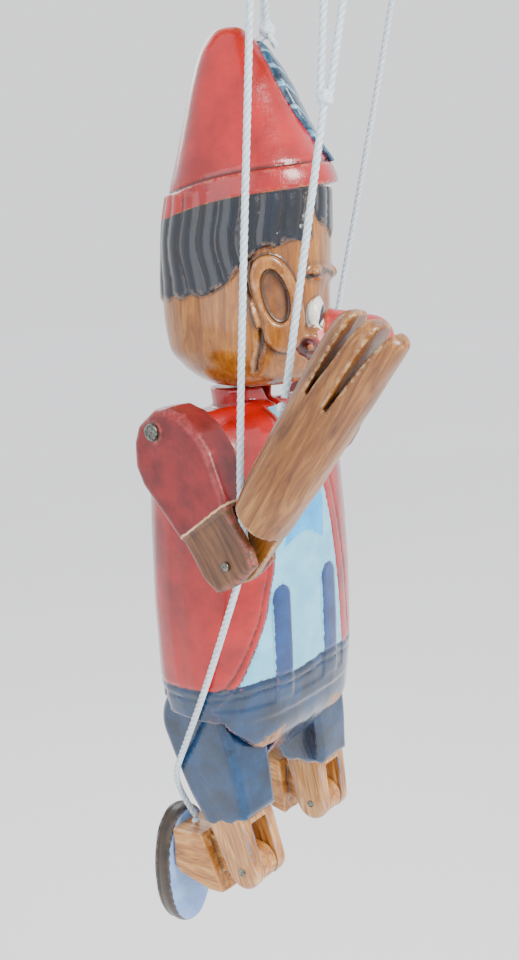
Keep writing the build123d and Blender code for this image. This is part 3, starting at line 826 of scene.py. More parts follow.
def layered(name, base, layers, coat=0.5, rough=0.3, base_wood=False, edge=None, edge_amt=0.35, dirt=0.55, along=(1, 1, 0.12),
            rough_vary=0.16, depth=0.00013):
    """a painted carved block: base colours, then paint layers cut by float attributes (negative inside)"""
    m = Mat(name)
    if base_wood:
        col, fine = m.wood(*base, along=along)
    else:
        col, fine = m.paint(*base), m.noise(1.6, 3.0, 0.6, stretch=(1, 1, 0.25))
    rg = m.math("ADD", m.math("MULTIPLY", m.noise(0.35, 4.0), rough_vary), rough - rough_vary * 0.5)
    for att, colours, r, wood in layers:
        wob = m.math("MULTIPLY", m.math("SUBTRACT", m.noise(0.55, 3.0), 0.5), 0.9)
        v = m.math("ADD", m.attr(att), wob)
        mask = m.remap(v, 0.12, -0.12)
        if wood:
            c2, _ = m.wood(*colours, along=along)
        else:
            c2 = m.paint(*colours)
        col = m.mix(mask, col, c2)
        rg = m.mixf(mask, rg, m.math("ADD", m.math("MULTIPLY", m.noise(0.5, 4.0), rough_vary), r - rough_vary * 0.5))
    cv = m.attr("curv")
    # painted highlight: convex edges are mixed towards the lighter edge colour, broken up by noise; on the bare-wood
    # pieces the same mark also stands for rubbed edges
    if edge:
        e = m.math("MULTIPLY", m.remap(cv, 0.25, 0.9), m.remap(m.noise(0.5, 5.0, 0.7), 0.45, 0.62))
        col = m.mix(m.math("MULTIPLY", e, edge_amt), col, edge)
    # painted shade: hollows with negative curvature are darkened towards near black, standing in for the shade that
    # falls in creases and recesses
    d = m.math("MULTIPLY", m.remap(cv, -0.12, -0.8), dirt)
    col = m.mix(d, col, srgb(28, 12, 6))
    # small chips and scuffs
    sp = m.remap(m.noise(1.3, 6.0, 0.75), 0.66, 0.72)
    col = m.mix(m.math("MULTIPLY", sp, 0.35), col, srgb(60, 24, 18))
    h = m.math("ADD", m.math("MULTIPLY", fine, 0.5), m.math("MULTIPLY", m.noise(0.28, 3.0), 1.1))
    h = m.math("ADD", h, m.math("MULTIPLY", m.noise(0.9, 4.0, 0.6, stretch=(1, 1, 0.3)), 0.6))
    return m.finish(col, rg, h, depth=depth, coat=coat)


def steel(name):
    m = Mat(name)
    col = m.ramp(m.noise(1.4, 5.0), [(0.35, srgb(64, 66, 60)), (0.65, srgb(140, 142, 134))])
    m.b.inputs["Metallic"].default_value = 1.0
    rg = m.math("ADD", m.math("MULTIPLY", m.noise(2.2, 5.0), 0.3), 0.22)
    return m.finish(col, rg, m.noise(2.0, 5.0), depth=0.00008)


def twine_mat(name, a, b):
    m = Mat(name)
    col = m.ramp(m.noise(1.2, 5.0, 0.7), [(0.3, a), (0.65, b)])
    # painted shade: the grooves between the twisted strands and the hollows of the knots are mixed towards a darker
    # blue-grey
    st = m.attr("curv")
    col = m.mix(m.math("MULTIPLY", m.remap(st, 0.0, -1.0), 0.5), col, srgb(120, 140, 160))
    rg = m.math("ADD", m.math("MULTIPLY", m.noise(2.0, 3.0), 0.15), 0.78)
    h = m.noise(5.0, 5.0, 0.7, stretch=(1, 1, 0.4))
    m.b.inputs["Sheen Weight"].default_value = 0.3
    return m.finish(col, rg, h, depth=0.00012, spec=0.25)


def cad_mat(name, stops, rough, metal=0.0, stretch=(1, 1, 1), scale=300.0):
    """for nodes shown with their own mesh, textured by place in the frame"""
    m = Mat(name)
    g = m.n("ShaderNodeTexCoord")
    col = m.ramp(m.noise(scale, 5.0, 0.6, vec=g.outputs["Object"], stretch=stretch), stops)
    m.b.inputs["Metallic"].default_value = metal
    rg = m.math("ADD", m.math("MULTIPLY", m.noise(scale * 2, 4.0, vec=g.outputs["Object"]), 0.25), rough - 0.12)
    return m.finish(col, rg, m.noise(scale * 4, 4.0, vec=g.outputs["Object"], stretch=stretch), depth=0.0001)


# ---------------------------------------------------------------- colours and materials
WOOD = (W_DARK, W_MID, W_LIGHT)
FORK_WOOD = (srgb(54, 30, 14), srgb(96, 58, 30), srgb(128, 84, 50))
KNEE_WOOD = (srgb(120, 70, 26), srgb(190, 128, 62), srgb(226, 178, 116))
HEAD_WOOD = (srgb(104, 54, 6), srgb(144, 84, 16), srgb(174, 114, 40))
RED, RED_D = srgb(176, 0, 3), srgb(126, 0, 2)
TEAL, TEAL_D = srgb(0, 56, 98), srgb(0, 26, 50)
# the edge colours below are painted highlights along convex edges, lighter tints of each paint, and the hollows of
# every piece get painted shade
m_torso = layered("jacket_paint", (RED, RED_D, 0.07), [
    ("m_shirt", (srgb(130, 212, 240), srgb(104, 190, 224), 0.1), 0.30, False),
    ("m_bow", (srgb(0, 184, 250), srgb(0, 150, 226), 0.1), 0.26, False),
    ("m_susp", (srgb(0, 62, 124), srgb(0, 40, 92), 0.1), 0.26, False),
    ("m_line", (srgb(120, 0, 4), srgb(90, 0, 2), 0.2), 0.35, False),
    ("m_trou", (TEAL, TEAL_D, 0.09), 0.2, False),
    ("m_inner", WOOD, 0.6, True)], coat=0.7, rough=0.24, edge=srgb(235, 96, 96), edge_amt=0.35, dirt=0.6)
m_head = layered("head_paint", HEAD_WOOD, [
    ("m_hair", (srgb(2, 16, 34), srgb(0, 6, 16), 0.1), 0.18, False),
    ("m_hat", (srgb(184, 6, 14), srgb(140, 2, 8), 0.06), 0.24, False),
    ("m_ear", (srgb(134, 80, 34), srgb(96, 54, 20), 0.2), 0.4, False),
    ("m_cheek", (srgb(226, 128, 132), srgb(206, 108, 104), 0.2), 0.36, False),
    ("m_lip", (srgb(150, 30, 28), srgb(112, 20, 18), 0.2), 0.32, False),
    ("m_white", (srgb(240, 238, 230), srgb(216, 212, 200), 0.2), 0.22, False),
    ("m_iris", (srgb(24, 22, 26), srgb(10, 10, 14), 0.2), 0.15, False),
    ("m_dot", (srgb(250, 250, 250), srgb(236, 236, 240), 0.2), 0.15, False),
    ("m_brow", (srgb(34, 20, 12), srgb(20, 12, 8), 0.2), 0.4, False)],
    base_wood=True, coat=0.6, rough=0.28, edge=srgb(240, 190, 150), edge_amt=0.25, dirt=0.75)
m_feather = layered("feather_paint", (srgb(2, 66, 98), srgb(0, 34, 58), 0.1), [
    ("m_vein", (srgb(130, 176, 196), srgb(86, 140, 168), 0.3), 0.3, False)], coat=0.6, rough=0.25, edge=srgb(120, 170, 190), dirt=0.6)
m_nose = layered("nose_paint", (srgb(206, 52, 56), srgb(166, 28, 34), 0.12), [], coat=0.4, rough=0.36, edge=srgb(240, 120, 110), dirt=0.5)
m_sleeve = layered("sleeve_paint", (srgb(134, 18, 22), srgb(92, 6, 10), 0.12), [
    ("m_cream", (srgb(226, 190, 150), srgb(190, 150, 110), 0.2), 0.5, False),
    ("m_fork", FORK_WOOD, 0.42, True), ("m_seat", (srgb(90, 70, 64), srgb(60, 44, 40), 0.4), 0.5, False)],
    coat=0.25, rough=0.38, edge=srgb(206, 92, 88), edge_amt=0.6, dirt=0.7, rough_vary=0.22)
m_fore = layered("forearm_wood", (srgb(84, 42, 6), srgb(132, 78, 22), srgb(172, 120, 62)), [], base_wood=True, coat=0.45, rough=0.34,
                 edge=srgb(214, 176, 128), edge_amt=0.6, dirt=0.85, rough_vary=0.2)
m_thigh = layered("shorts_paint", (TEAL, TEAL_D, 0.09), [("m_fork", KNEE_WOOD, 0.4, True)], coat=0.7, rough=0.2,
                  edge=srgb(60, 150, 196), edge_amt=0.35, dirt=0.6)
m_shin = layered("shin_wood", (srgb(110, 62, 20), srgb(180, 118, 54), srgb(216, 164, 98)), [], base_wood=True, coat=0.35, rough=0.4,
                 edge=srgb(226, 186, 132), dirt=0.7)
# the shoe's pale grey-blue base is teal paint lightened into a painted reflection of the light on its face, the dark
# brown side wall is partly painted shade, and the pale edge colour is a painted highlight
m_shoe = layered("shoe_paint", (srgb(132, 168, 222), srgb(104, 140, 200), 0.12), [
    ("m_rim", (srgb(52, 34, 12), srgb(30, 20, 10), 0.25), 0.42, False)], coat=0.3, rough=0.34, edge=srgb(170, 190, 214), dirt=0.7)
m_twine = twine_mat("twine_white", srgb(176, 202, 216), srgb(236, 244, 248))
m_steel = steel("nail_steel")
m_ctl = layered("control_wood", (srgb(120, 82, 44), srgb(184, 142, 92), srgb(214, 180, 134)), [], base_wood=True, coat=0.0, rough=0.55,
                edge=srgb(226, 200, 160), dirt=0.5)


# ---------------------------------------------------------------- paint areas, negative inside
def paint_torso(x, y, z):
    front = np.where(y < 0, 0.0, 40.0)
    lap_n = [(-2.0, 79), (-8.0, 62), (-13.0, 48), (-16.1, 33.7), (-17.9, 28.7), (-20.2, 20.2), (-24.0, 12), (-29.2, 1.0), (-33, -6)]
    lap_f = [(17.4, -6), (16.9, 2), (15.1, 22.6), (13.2, 42.3), (10.2, 56), (6.6, 67), (3.4, 79)]
    shirt = poly_sd(x, z, lap_n + lap_f) + front
    bow = poly_sd(x, z, [(9.5, 50.5), (8.2, 38.4), (3.0, 41.2), (-1.3, 42.7), (-6.0, 41.4), (-11.4, 39.4), (-9.6, 43.6), (-5.6, 48),
                         (-3.6, 55), (-1.0, 62), (3.0, 62), (7.8, 57)]) + front
    s1 = np.maximum(np.abs(x + 13.9) - 3.6, z - 25.6)
    s1 = np.minimum(s1, np.sqrt((x + 13.9) ** 2 + (z - 25.6) ** 2) - 3.6)
    s2 = np.maximum(np.abs(x - 9.4) - 3.8, z - 26.4)
    s2 = np.minimum(s2, np.sqrt((x - 9.4) ** 2 + (z - 26.4) ** 2) - 3.8)
    susp = np.minimum(s1, s2) + front
    line = np.minimum(line_sd(x, z, lap_n), line_sd(x, z, [(a - 2.3, b) for a, b in lap_n])) - 0.28
    line = np.minimum(line, line_sd(x, z, [(22.8, -2), (20.8, 20.8), (18.0, 41), (15.0, 55), (8, 76)]) - 0.3) + front
    waist = 0.5 - 0.07 * y - 0.3 + 0.5 * np.sin(x * 0.21)
    trou = z - waist
    r = np.sqrt((y - HIP[0]) ** 2 + (z - HIP[1]) ** 2)
    ax = np.abs(x)
    inner = np.maximum(np.maximum(ax - 31.55, 12.25 - ax), z + 0.6)
    back = ring_sd(x, y, 33.0, 20.4, 2.8)
    inner = np.maximum(inner, back + 1.2)
    return {"m_shirt": shirt, "m_bow": bow, "m_susp": np.maximum(susp, shirt), "m_line": np.maximum(line, -z), "m_trou": trou, "m_inner": inner}


def sd_torso_fine(P):
    x, y, z = P
    d = sd_torso(P)
    pm = paint_torso(x, y, z)
    d = d + 0.35 * np.clip(1 - np.abs(pm["m_line"] + 0.3) / 0.8, 0, 1)
    d = d - 0.45 * sstep(0.35, -0.35, pm["m_susp"]) * (y < 0) - 0.35 * sstep(0.35, -0.35, pm["m_bow"]) * (y < 0)
    d = d + 0.3 * sstep(0.3, -0.3, pm["m_shirt"]) * (y < 0)
    belt = z - (0.2 - 0.07 * y + 0.5 * np.sin(x * 0.21))
    d = d + 0.45 * np.clip(1 - np.abs(belt) / 0.6, 0, 1) + 0.4 * np.clip(1 - np.abs(belt + 3.0) / 0.55, 0, 1)
    # shallow gouge strokes running down the jacket
    ang = np.arctan2(x / 34.0, -y / 21.0)
    d = d + 0.10 * np.abs(np.sin(ang * 11 + 0.8 * np.sin(z * 0.07))) + 0.10 * wave(P, 15.0, 2.0)
    return d


def paint_head(x, y, z):
    ax = np.abs(x)
    bz = brim_z(x, y)
    hat = (bz - z) + 0.1
    hair = np.maximum(hair_edge(x, y, z), z - bz)
    ey, ez = y + 13.4, z - 109.5
    ca, sa = math.cos(math.radians(-12)), math.sin(math.radians(-12))
    e1, e2 = ey * ca + ez * sa, -ey * sa + ez * ca
    ear = np.where(ax > 12, ring_sd(e1, e2, 6.9, 13.6, 2.2), 40.0)
    hair = np.maximum(hair, -ear + 0.3)
    bowl = np.where(ax > 12, ring_sd(e1 + 0.4, e2 - 2.2, 3.4, 7.2, 2.1), 40.0)
    front = np.where(y < -14, 0.0, 40.0)
    white = ring_sd(ax - 11.8, z - 106.0, 4.7, 5.0, 2.0) + front
    iris = ring_sd(ax - 12.4, z - 105.2, 2.7, 3.5, 2.0) + front
    dot = ring_sd(ax - 13.2, z - 103.4, 0.9, 1.0, 2.0) + front
    cheek = ring_sd(ax - 13.8, z - 99.6, 3.4, 2.2, 2.0) + front
    brow = line_sd(ax, z, [(6.5, 116.4), (11.5, 118.2), (16.0, 116.6)]) - 0.75 + front
    lip = line_sd(ax, z, [(0, 90.4), (5.0, 90.8), (11.0, 92.6), (15.8, 95.7), (17.8, 99.0)]) - 0.8 + np.where(y < -8, 0.0, 40.0)
    return {"m_hair": hair, "m_hat": hat, "m_ear": bowl, "m_cheek": cheek, "m_lip": lip, "m_white": white, "m_iris": iris,
            "m_dot": dot, "m_brow": np.maximum(brow, -hair + 0.2)}


def paint_feather(x, y, z):
    v = np.full(x.shape, 9.0)
    for k in range(5):
        zz = 152.5 + 6.0 * k
        v = np.minimum(v, line_sd(x, z, [(-9.5, zz + 5.0), (-1.0, zz), (7.5, zz + 5.0)]))
    return {"m_vein": v - 0.55}


def paint_arm(x, y, z):
    e = z + 27.7 + 0.03 * y
    return {"m_fork": e, "m_cream": e - 0.55, "m_seat": np.sqrt(y * y + z * z) - 3.0}


def paint_thigh(x, y, z):
    hem = -30.2 + 0.5 * np.sin(y * 0.9 + 0.6) + 0.05 * y + 0.3 * np.sin(x * 0.8)
    return {"m_fork": z - hem}


def paint_shoe(x, y, z):
    # m_rim marks the dark brown side wall, partly its own colour and partly painted shade
    r = ring_sd(x + 24.0, y + 10.0, 10.6, 19.9, 2.25)
    return {"m_rim": np.maximum(-(r + 0.9), -40 * (z > -28.0) + (-0.9 - r)) * 1.0}


# ---------------------------------------------------------------- carved pieces
def same(P):
    return P


def head_turn(P):
    return turn_z(P, 30.0)


piece("torso_carved", sd_torso_fine, (-37, -24, -32), (37, 24, 88), 0.62, same, "torso", ["torso_block"], m_torso, paint_torso, "jacket_red")
piece("head_carved", sd_head, (-26, -35, 84), (26, 25, 188), 0.52, head_turn, "head", ["head_block"], m_head, paint_head, "carved_wood")
piece("feather_carved", sd_feather, (-11, -36, 145), (9, 1, 184), 0.32, head_turn, "head", ["hat_feather"], m_feather, paint_feather, "feather_blue")
piece("nose_carved", sd_nose, (-8.5, -47, 88), (8.5, -24, 109), 0.4, head_turn, "head", ["nose_peg"], m_nose, None, "peg_red")
EY_R, EZ_R = -28.2665, 44.6162
EY_L, EZ_L = 18.9573, 46.6782
for side, sa, fa, ey, ez in (("right", -33.0, -144.6, EY_R, EZ_R), ("left", 38.0, 9.0, EY_L, EZ_L)):
    limb(side + "_arm_carved", sd_arm, (-48.2, -15, -49), (-34.6, 15.5, 7), 0.34, sa, SH[0], SH[1], side, side + "_arm_upper",
         [side + "_upper_arm"], m_sleeve, paint_arm, "sleeve_red")
    limb(side + "_forearm_carved", sd_fore, (-50.6, -11, -83), (-34.8, 13.5, 7), 0.36, fa, ey, ez, side, side + "_arm_lower",
         [side + "_forearm"], m_fore, None, "limb_wood")
for side, ha, ka, ky, kz in (("right", -21.0, 90.0, -13.9849, -56.9447), ("left", -10.0, 108.0, -5.4878, -59.3012)):
    limb(side + "_thigh_carved", sd_thigh, (-32.4, -14, -53), (-11.4, 14, 14), 0.42, ha, HIP[0], HIP[1], side, side + "_leg_upper",
         [side + "_thigh"], m_thigh, paint_thigh, "shorts_blue")
    limb(side + "_shin_carved", sd_shin, (-33.4, -13, -28.5), (-14.2, 9, 7), 0.38, ka, ky, kz, side, side + "_leg_lower",
         [side + "_lower_leg"], m_shin, None, "limb_wood")
    limb(side + "_shoe_carved", sd_shoe, (-36, -31.5, -35), (-12, 11.5, -26), 0.38, ka, ky, kz, side, side + "_leg_lower",
         [side + "_shoe"], m_shoe, paint_shoe, "shoe_paint")


# ---------------------------------------------------------------- nails, pins and knots
for side, s in (("right", -1), ("left", 1)):
    turned_piece(side + "_shoulder_nail_turned", smooth_profile([(0, 0.3), (2.2, 1.28), (23.3, 1.28), (23.4, 2.15), (23.75, 2.38), (24.2, 2.25),
                                                              (24.5, 1.7), (24.62, 0.7)], 0.2),
                 (s * 24.0, SH[0], SH[1]), (s, 0, 0), "torso", [side + "_shoulder_nail"], m_steel, "steel")
ARM_AX = {"right": (-33.0, EY_R, EZ_R), "left": (38.0, EY_L, EZ_L)}
for side, s in (("right", -1), ("left", 1)):
    _, ey, ez = ARM_AX[side]
    turned_piece(side + "_elbow_pin_turned", smooth_profile([(0, 0.5), (0.3, 0.9), (11.3, 0.9), (11.35, 1.3), (11.6, 1.25), (11.8, 0.6)], 0.2),
                 (s * 35.6, ey, ez), (s, 0, 0), side + "_arm_upper", [side + "_elbow_pin"], m_steel, "steel")


def torus_sd(P, c, axis, R, r):
    ax = np.array(axis, float)
    ax /= np.linalg.norm(ax)
    w = [P[i] - c[i] for i in range(3)]
    h = sum(w[i] * ax[i] for i in range(3))
    q = np.sqrt(np.maximum(sum(v * v for v in w) - h * h, 0)) - R
    return np.sqrt(q * q + h * h) - r


def knot_piece(name, c, size, body, nodes, tails=()):
    def sd(P):
        d = torus_sd(P, c, (1, 0.3, 0.4), 0.52 * size, 0.44 * size)
        d = np.minimum(d, torus_sd(P, (c[0], c[1], c[2] + 0.12 * size), (-0.5, 1, 0.3), 0.5 * size, 0.42 * size))
        d = np.minimum(d, torus_sd(P, (c[0], c[1], c[2] - 0.1 * size), (0.2, -0.4, 1), 0.56 * size, 0.4 * size))
        for a, b, r in tails:
            d = smin(d, seg_sd(P, a, b, r), 0.2)
        return d + 0.05 * np.sin(6.0 * (P[0] + P[1] * 0.7 + P[2] * 1.3))
    pts = [np.array(c) - 1.25 * size, np.array(c) + 1.25 * size] + [np.array(p) for t in tails for p in t[:2]]
    lo, hi = np.min(pts, 0) - 1.2, np.max(pts, 0) + 1.2
    P, Q, cv = surface(sd, lo, hi, 0.2)
    # only the hollows keep their curvature value, so twine_mat paints shade into the knot's crevices
    ob = make_object(name, P.copy(), Q, {"curv": np.minimum(cv, 0)}, P, body, nodes)
    ob.data.materials.append(m_twine)
    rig.slot(ob, "twine")
    return ob


c30, s30 = math.cos(math.radians(30)), math.sin(math.radians(30))


def h2t(p):
    return (p[0] * c30 - p[1] * s30, p[0] * s30 + p[1] * c30, p[2])


HK = h2t((-0.4, -11.9, 184.2))
knot_piece("hat_knot_tied", HK, 2.5, "head", ["hat_knot"], [
    (h2t((-0.4, -11.9, 184.0)), h2t((0, -4.0, 177.0)), 0.9), (HK, h2t((2.6, -13.6, 180.6)), 0.8), (HK, h2t((-2.4, -13.4, 181.2)), 0.8)])
knot_piece("right_wrist_knot_tied", (-44.0, -46.85, 86.75), 1.45, "right_arm_lower", ["right_wrist_knot"])
knot_piece("left_wrist_knot_tied", (49.75, 26.2, 1.2), 1.45, "left_arm_lower", ["left_wrist_knot"])
knot_piece("right_leg_knot_tied", (-24.2, 9.62, -50.8), 1.45, "right_leg_lower", ["right_leg_knot"])
knot_piece("left_leg_knot_tied", (24.2, 15.1, -46.2), 1.45, "left_leg_lower", ["left_leg_knot"])

# ---------------------------------------------------------------- strings: one smooth line each, cut where it passes from body to body
STRING_D = 0.0019


def centre_line(name, pts_m):
    cu = bpy.data.curves.new(name + "_line", "CURVE")
    cu.dimensions = "3D"
    sp = cu.splines.new("NURBS")
    sp.points.add(len(pts_m) - 1)
    for p, q in zip(sp.points, pts_m):
        p.co = (*q, 1.0)
    sp.order_u = min(3, len(pts_m))
    sp.use_endpoint_u = True
    sp.resolution_u = 24
    ob = bpy.data.objects.new(name + "_line", cu)
    bpy.context.scene.collection.objects.link(ob)
    bpy.context.view_layer.update()
    me = bpy.data.meshes.new_from_object(ob)
    line = np.array([v.co for v in me.vertices], float)
    bpy.data.objects.remove(ob)
    bpy.data.meshes.remove(me)
    return line


def strand_mesh(line, radius, pitch, phase0, step=0.00045, count=20):
    """a three-strand twisted tube along a line; returns points, quads, groove value, local coordinates"""
    seg = np.linalg.norm(np.diff(line, axis=0), axis=1)
    keep = np.r_[True, seg > 1e-9]
    line = line[keep]
    s = np.r_[0, np.cumsum(np.linalg.norm(np.diff(line, axis=0), axis=1))]
    n = max(8, int(s[-1] / (step * COARSE)))
    t = np.linspace(0, s[-1], n)
    C = np.stack([np.interp(t, s, line[:, i]) for i in range(3)], 1)
    T = np.gradient(C, axis=0)
    T /= np.linalg.norm(T, axis=1)[:, None]
    N = np.zeros_like(C)
    a = np.cross(T[0], (1.0, 0.2, 0.1))
    N[0] = a / np.linalg.norm(a)
    for i in range(1, n):
        v = N[i - 1] - T[i] * (N[i - 1] @ T[i])
        N[i] = v / np.linalg.norm(v)
    B = np.cross(T, N)
    th = np.linspace(0, 2 * np.pi, count, endpoint=False)
    ph = 2 * np.pi * (t[:, None] + phase0) / pitch
    lobe = np.abs(np.cos(1.5 * (th[None] - ph)))
    fuzz = 1 + 0.05 * np.sin(t[:, None] * 9100 + th[None] * 5) * np.sin(t[:, None] * 3700 + th[None] * 3)
    R = radius * (0.80 + 0.22 * lobe ** 0.8) * fuzz
    V = C[:, None] + R[..., None] * (np.cos(th)[None, :, None] * N[:, None] + np.sin(th)[None, :, None] * B[:, None])
    V = V.reshape(-1, 3)
    idx = np.arange(n * count).reshape(n, count)
    q = np.stack([idx[:-1], np.roll(idx, -1, 1)[:-1], np.roll(idx, -1, 1)[1:], idx[1:]], -1).reshape(-1, 4)
    V = np.vstack([V, C[0], C[-1]])
    a, b = len(V) - 2, len(V) - 1
    caps = [(a, (j + 1) % count, j, a) for j in range(count)]
    # groove value, negative in the hollows between strands; twine_mat paints shade there with it
    groove_v = np.r_[(-1.0 * (1 - lobe)).ravel(), 0, 0]
    loc = np.stack([np.r_[(np.cos(th)[None] * R).ravel() * 1000, 0, 0], np.r_[(np.sin(th)[None] * R).ravel() * 1000, 0, 0],
                    np.r_[np.repeat(t * 1000, count), 0, t[-1] * 1000]], 1)
    return V, q, idx, a, b, groove_v, loc, s[-1]


def string_piece(name, pts_m, a, b, nodes, length, blend_ends=None, phase=0.0, with_pieces=()):
    """pts_m: the route's points in metres in the row frame; the piece follows body a at its first point and body b at its last"""
    line = centre_line(name, pts_m)
    V, q, idx, ca, cb, gv, loc, total = strand_mesh(line, STRING_D / 2, 0.0062, phase)
    n, count = idx.shape
    me = bpy.data.meshes.new(name)
    faces = [tuple(int(v) for v in f) for f in q]
    faces += [(ca, int(idx[0][(j + 1) % count]), int(idx[0][j])) for j in range(count)]
    faces += [(cb, int(idx[-1][j]), int(idx[-1][(j + 1) % count])) for j in range(count)]
    me.from_pydata([tuple(v) for v in V], [], faces)
    me.update()
    me.polygons.foreach_set("use_smooth", np.ones(len(me.polygons), bool))
    at = me.attributes.new("lp", "FLOAT_VECTOR", "POINT")
    at.data.foreach_set("vector", loc.astype(np.float32).ravel())
    at = me.attributes.new("curv", "FLOAT", "POINT")
    at.data.foreach_set("value", gv.astype(np.float32).ravel())
    ob = bpy.data.objects.new(name, me)
    bpy.context.scene.collection.objects.link(ob)
    ob.data.materials.append(m_twine)
    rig.slot(ob, "twine")
    if a == b:
        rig.ride(ob, a)
    else:
        st, en = blend_ends or (pts_m[0], pts_m[-1])
        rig.blend(ob, a, b, st, en)
    if nodes:
        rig.replaces(ob, *nodes)
    step = max(1, len(line) // 60)
    path = [list(p) for p in line[::step]]
    if np.linalg.norm(np.array(path[-1]) - line[-1]) > 1e-6:
        path.append(list(line[-1]))
    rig.cord(ob, exit=list(pts_m[0]), length=length, diameter=STRING_D, far_end="knot", stiffness="limp", lay="taut", path=path,
            with_pieces=list(with_pieces))
    return ob


def poly_len(p):
    return float(np.linalg.norm(np.diff(np.array(p), axis=0), axis=1).sum())


# right hand: a loop over the hand bar, a knot, then one run to the wrist
R_KNOT = (-0.04157, -0.02760, -0.06827)
R_LOOP = [(-0.04212, -0.02665, -0.0677), (-0.03042, -0.02376, -0.0130), (-0.03042, -0.02376, -0.0048), (-0.02632, -0.03086, -0.0048),
          (-0.02632, -0.03086, -0.0130), (-0.04102, -0.02855, -0.0677)]
R_WRIST = (-0.05759, -0.02370, -0.13790)
R_MID = tuple((a + b) / 2 for a, b in zip(R_KNOT, R_WRIST))
string_piece("right_hand_string_loop", R_LOOP, "control", "torso", ["right_hand_string"], poly_len(R_LOOP) * 0.97,
             blend_ends=((-0.0284, -0.0273, -0.012), R_KNOT))
string_piece("right_hand_string_upper", [R_KNOT, R_MID], "torso", "right_arm_upper", [], poly_len([R_KNOT, R_MID]))
string_piece("right_hand_string_lower", [R_MID, R_WRIST], "right_arm_upper", "right_arm_lower", [], poly_len([R_MID, R_WRIST]), phase=0.0355)
# left hand
L_TOP, L_LOW, L_WRIST = (0.04589, 0.00052, -0.0054), (0.04589, 0.00052, -0.0127), (0.0373, 0.0497, -0.2224)
LA = tuple(a + (b - a) * 0.42 for a, b in zip(L_LOW, L_WRIST))
LB = tuple(a + (b - a) * 0.80 for a, b in zip(L_LOW, L_WRIST))
string_piece("left_hand_string_upper", [L_TOP, L_LOW, LA], "control", "torso", ["left_hand_string"], poly_len([L_TOP, L_LOW, LA]))
string_piece("left_hand_string_middle", [LA, LB], "torso", "left_arm_upper", [], poly_len([LA, LB]), phase=0.0975)
string_piece("left_hand_string_lower", [LB, L_WRIST], "left_arm_upper", "left_arm_lower", [], poly_len([LB, L_WRIST]), phase=0.1811)
# right leg: through the elbow fork, past the waist, round the back of the thigh to the calf
RL_TOP, RL_LOW, RL_A = (-0.04079, -0.00934, -0.0054), (-0.04079, -0.00934, -0.0115), (-0.0583, -0.0074, -0.1656)
RL_M = tuple(a + (b - a) * 0.5 for a, b in zip(RL_LOW, RL_A))
RL_S = (-0.05657, -0.0074, -0.1797)
RL_W = (-0.05324, 0.00686, -0.2100)
RL_T = (-0.04845, 0.02411, -0.2410)
string_piece("right_leg_string_upper", [RL_TOP, RL_LOW, RL_M], "control", "torso", ["right_leg_string"], poly_len([RL_TOP, RL_LOW, RL_M]))
string_piece("right_leg_string_elbow", [RL_M, RL_A, (-0.0566, -0.0084, -0.1751), RL_S], "torso", "right_arm_upper", [],
             poly_len([RL_M, RL_A, (-0.0566, -0.0084, -0.1751), RL_S]), blend_ends=(RL_M, RL_A), phase=0.0836)
string_piece("right_leg_string_side", [RL_S, (-0.05655, -0.0067, -0.1829), (-0.05645, -0.0036, -0.1904), RL_W], "right_arm_upper", "torso", [],
             poly_len([RL_S, (-0.05655, -0.0067, -0.1829), (-0.05645, -0.0036, -0.1904), RL_W]),
             blend_ends=((-0.05645, -0.0036, -0.1904), RL_W))
string_piece("right_leg_string_hip", [RL_W, (-0.0509, 0.0145, -0.2243), RL_T], "torso", "right_leg_upper", [],
             poly_len([RL_W, (-0.0509, 0.0145, -0.2243), RL_T]))
string_piece("right_leg_string_calf", [RL_T, (-0.0472, 0.0290, -0.2495), (-0.04635, 0.0336, -0.2580), (-0.0416, 0.0354, -0.2680),
                                       (-0.0382, 0.0336, -0.2759)], "right_leg_upper", "right_leg_lower", [],
             poly_len([RL_T, (-0.0472, 0.0290, -0.2495), (-0.04635, 0.0336, -0.2580), (-0.0416, 0.0354, -0.2680), (-0.0382, 0.0336, -0.2759)]),
             blend_ends=((-0.0470, 0.0300, -0.2520), (-0.0382, 0.0336, -0.2759)))
# left leg: down behind the body to the left calf
LL = [(0.02439, 0.03776, -0.0054), (0.02439, 0.03776, -0.0115), (0.0146, 0.0436, -0.1870), (0.0134, 0.0436, -0.2170), (0.0119, 0.0429, -0.2350),
      (0.0102, 0.0396, -0.2706)]
string_piece("left_leg_string_upper", LL[:3], "control", "torso", ["left_leg_string"], poly_len(LL[:3]))
string_piece("left_leg_string_hip", LL[2:5], "torso", "left_leg_upper", [], poly_len(LL[2:5]))
string_piece("left_leg_string_calf", LL[4:], "left_leg_upper", "left_leg_lower", [], poly_len(LL[4:]))


def short_string(name, pts_m, a, b, nodes):
    line = centre_line(name, pts_m)
    V, q, idx, ca, cb, gv, loc, total = strand_mesh(line, STRING_D / 2, 0.0062, 0.0)
    me = bpy.data.meshes.new(name)
    n, count = idx.shape
    faces = [tuple(int(v) for v in f) for f in q]
    faces += [(ca, int(idx[0][(j + 1) % count]), int(idx[0][j])) for j in range(count)]
    faces += [(cb, int(idx[-1][j]), int(idx[-1][(j + 1) % count])) for j in range(count)]
    me.from_pydata([tuple(v) for v in V], [], faces)
    me.update()
    me.polygons.foreach_set("use_smooth", np.ones(len(me.polygons), bool))
    at = me.attributes.new("lp", "FLOAT_VECTOR", "POINT")
    at.data.foreach_set("vector", loc.astype(np.float32).ravel())
    at = me.attributes.new("curv", "FLOAT", "POINT")
    at.data.foreach_set("value", gv.astype(np.float32).ravel())
    ob = bpy.data.objects.new(name, me)
    bpy.context.scene.collection.objects.link(ob)
    ob.data.materials.append(m_twine)
    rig.slot(ob, "twine")
    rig.blend(ob, a, b, pts_m[0], pts_m[-1])
    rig.replaces(ob, *nodes)
    return ob


short_string("head_string_run", [(-0.00795, 0.01378, -0.0177), (-0.0084, 0.01349, -0.0412)], "control", "torso", ["head_string"])


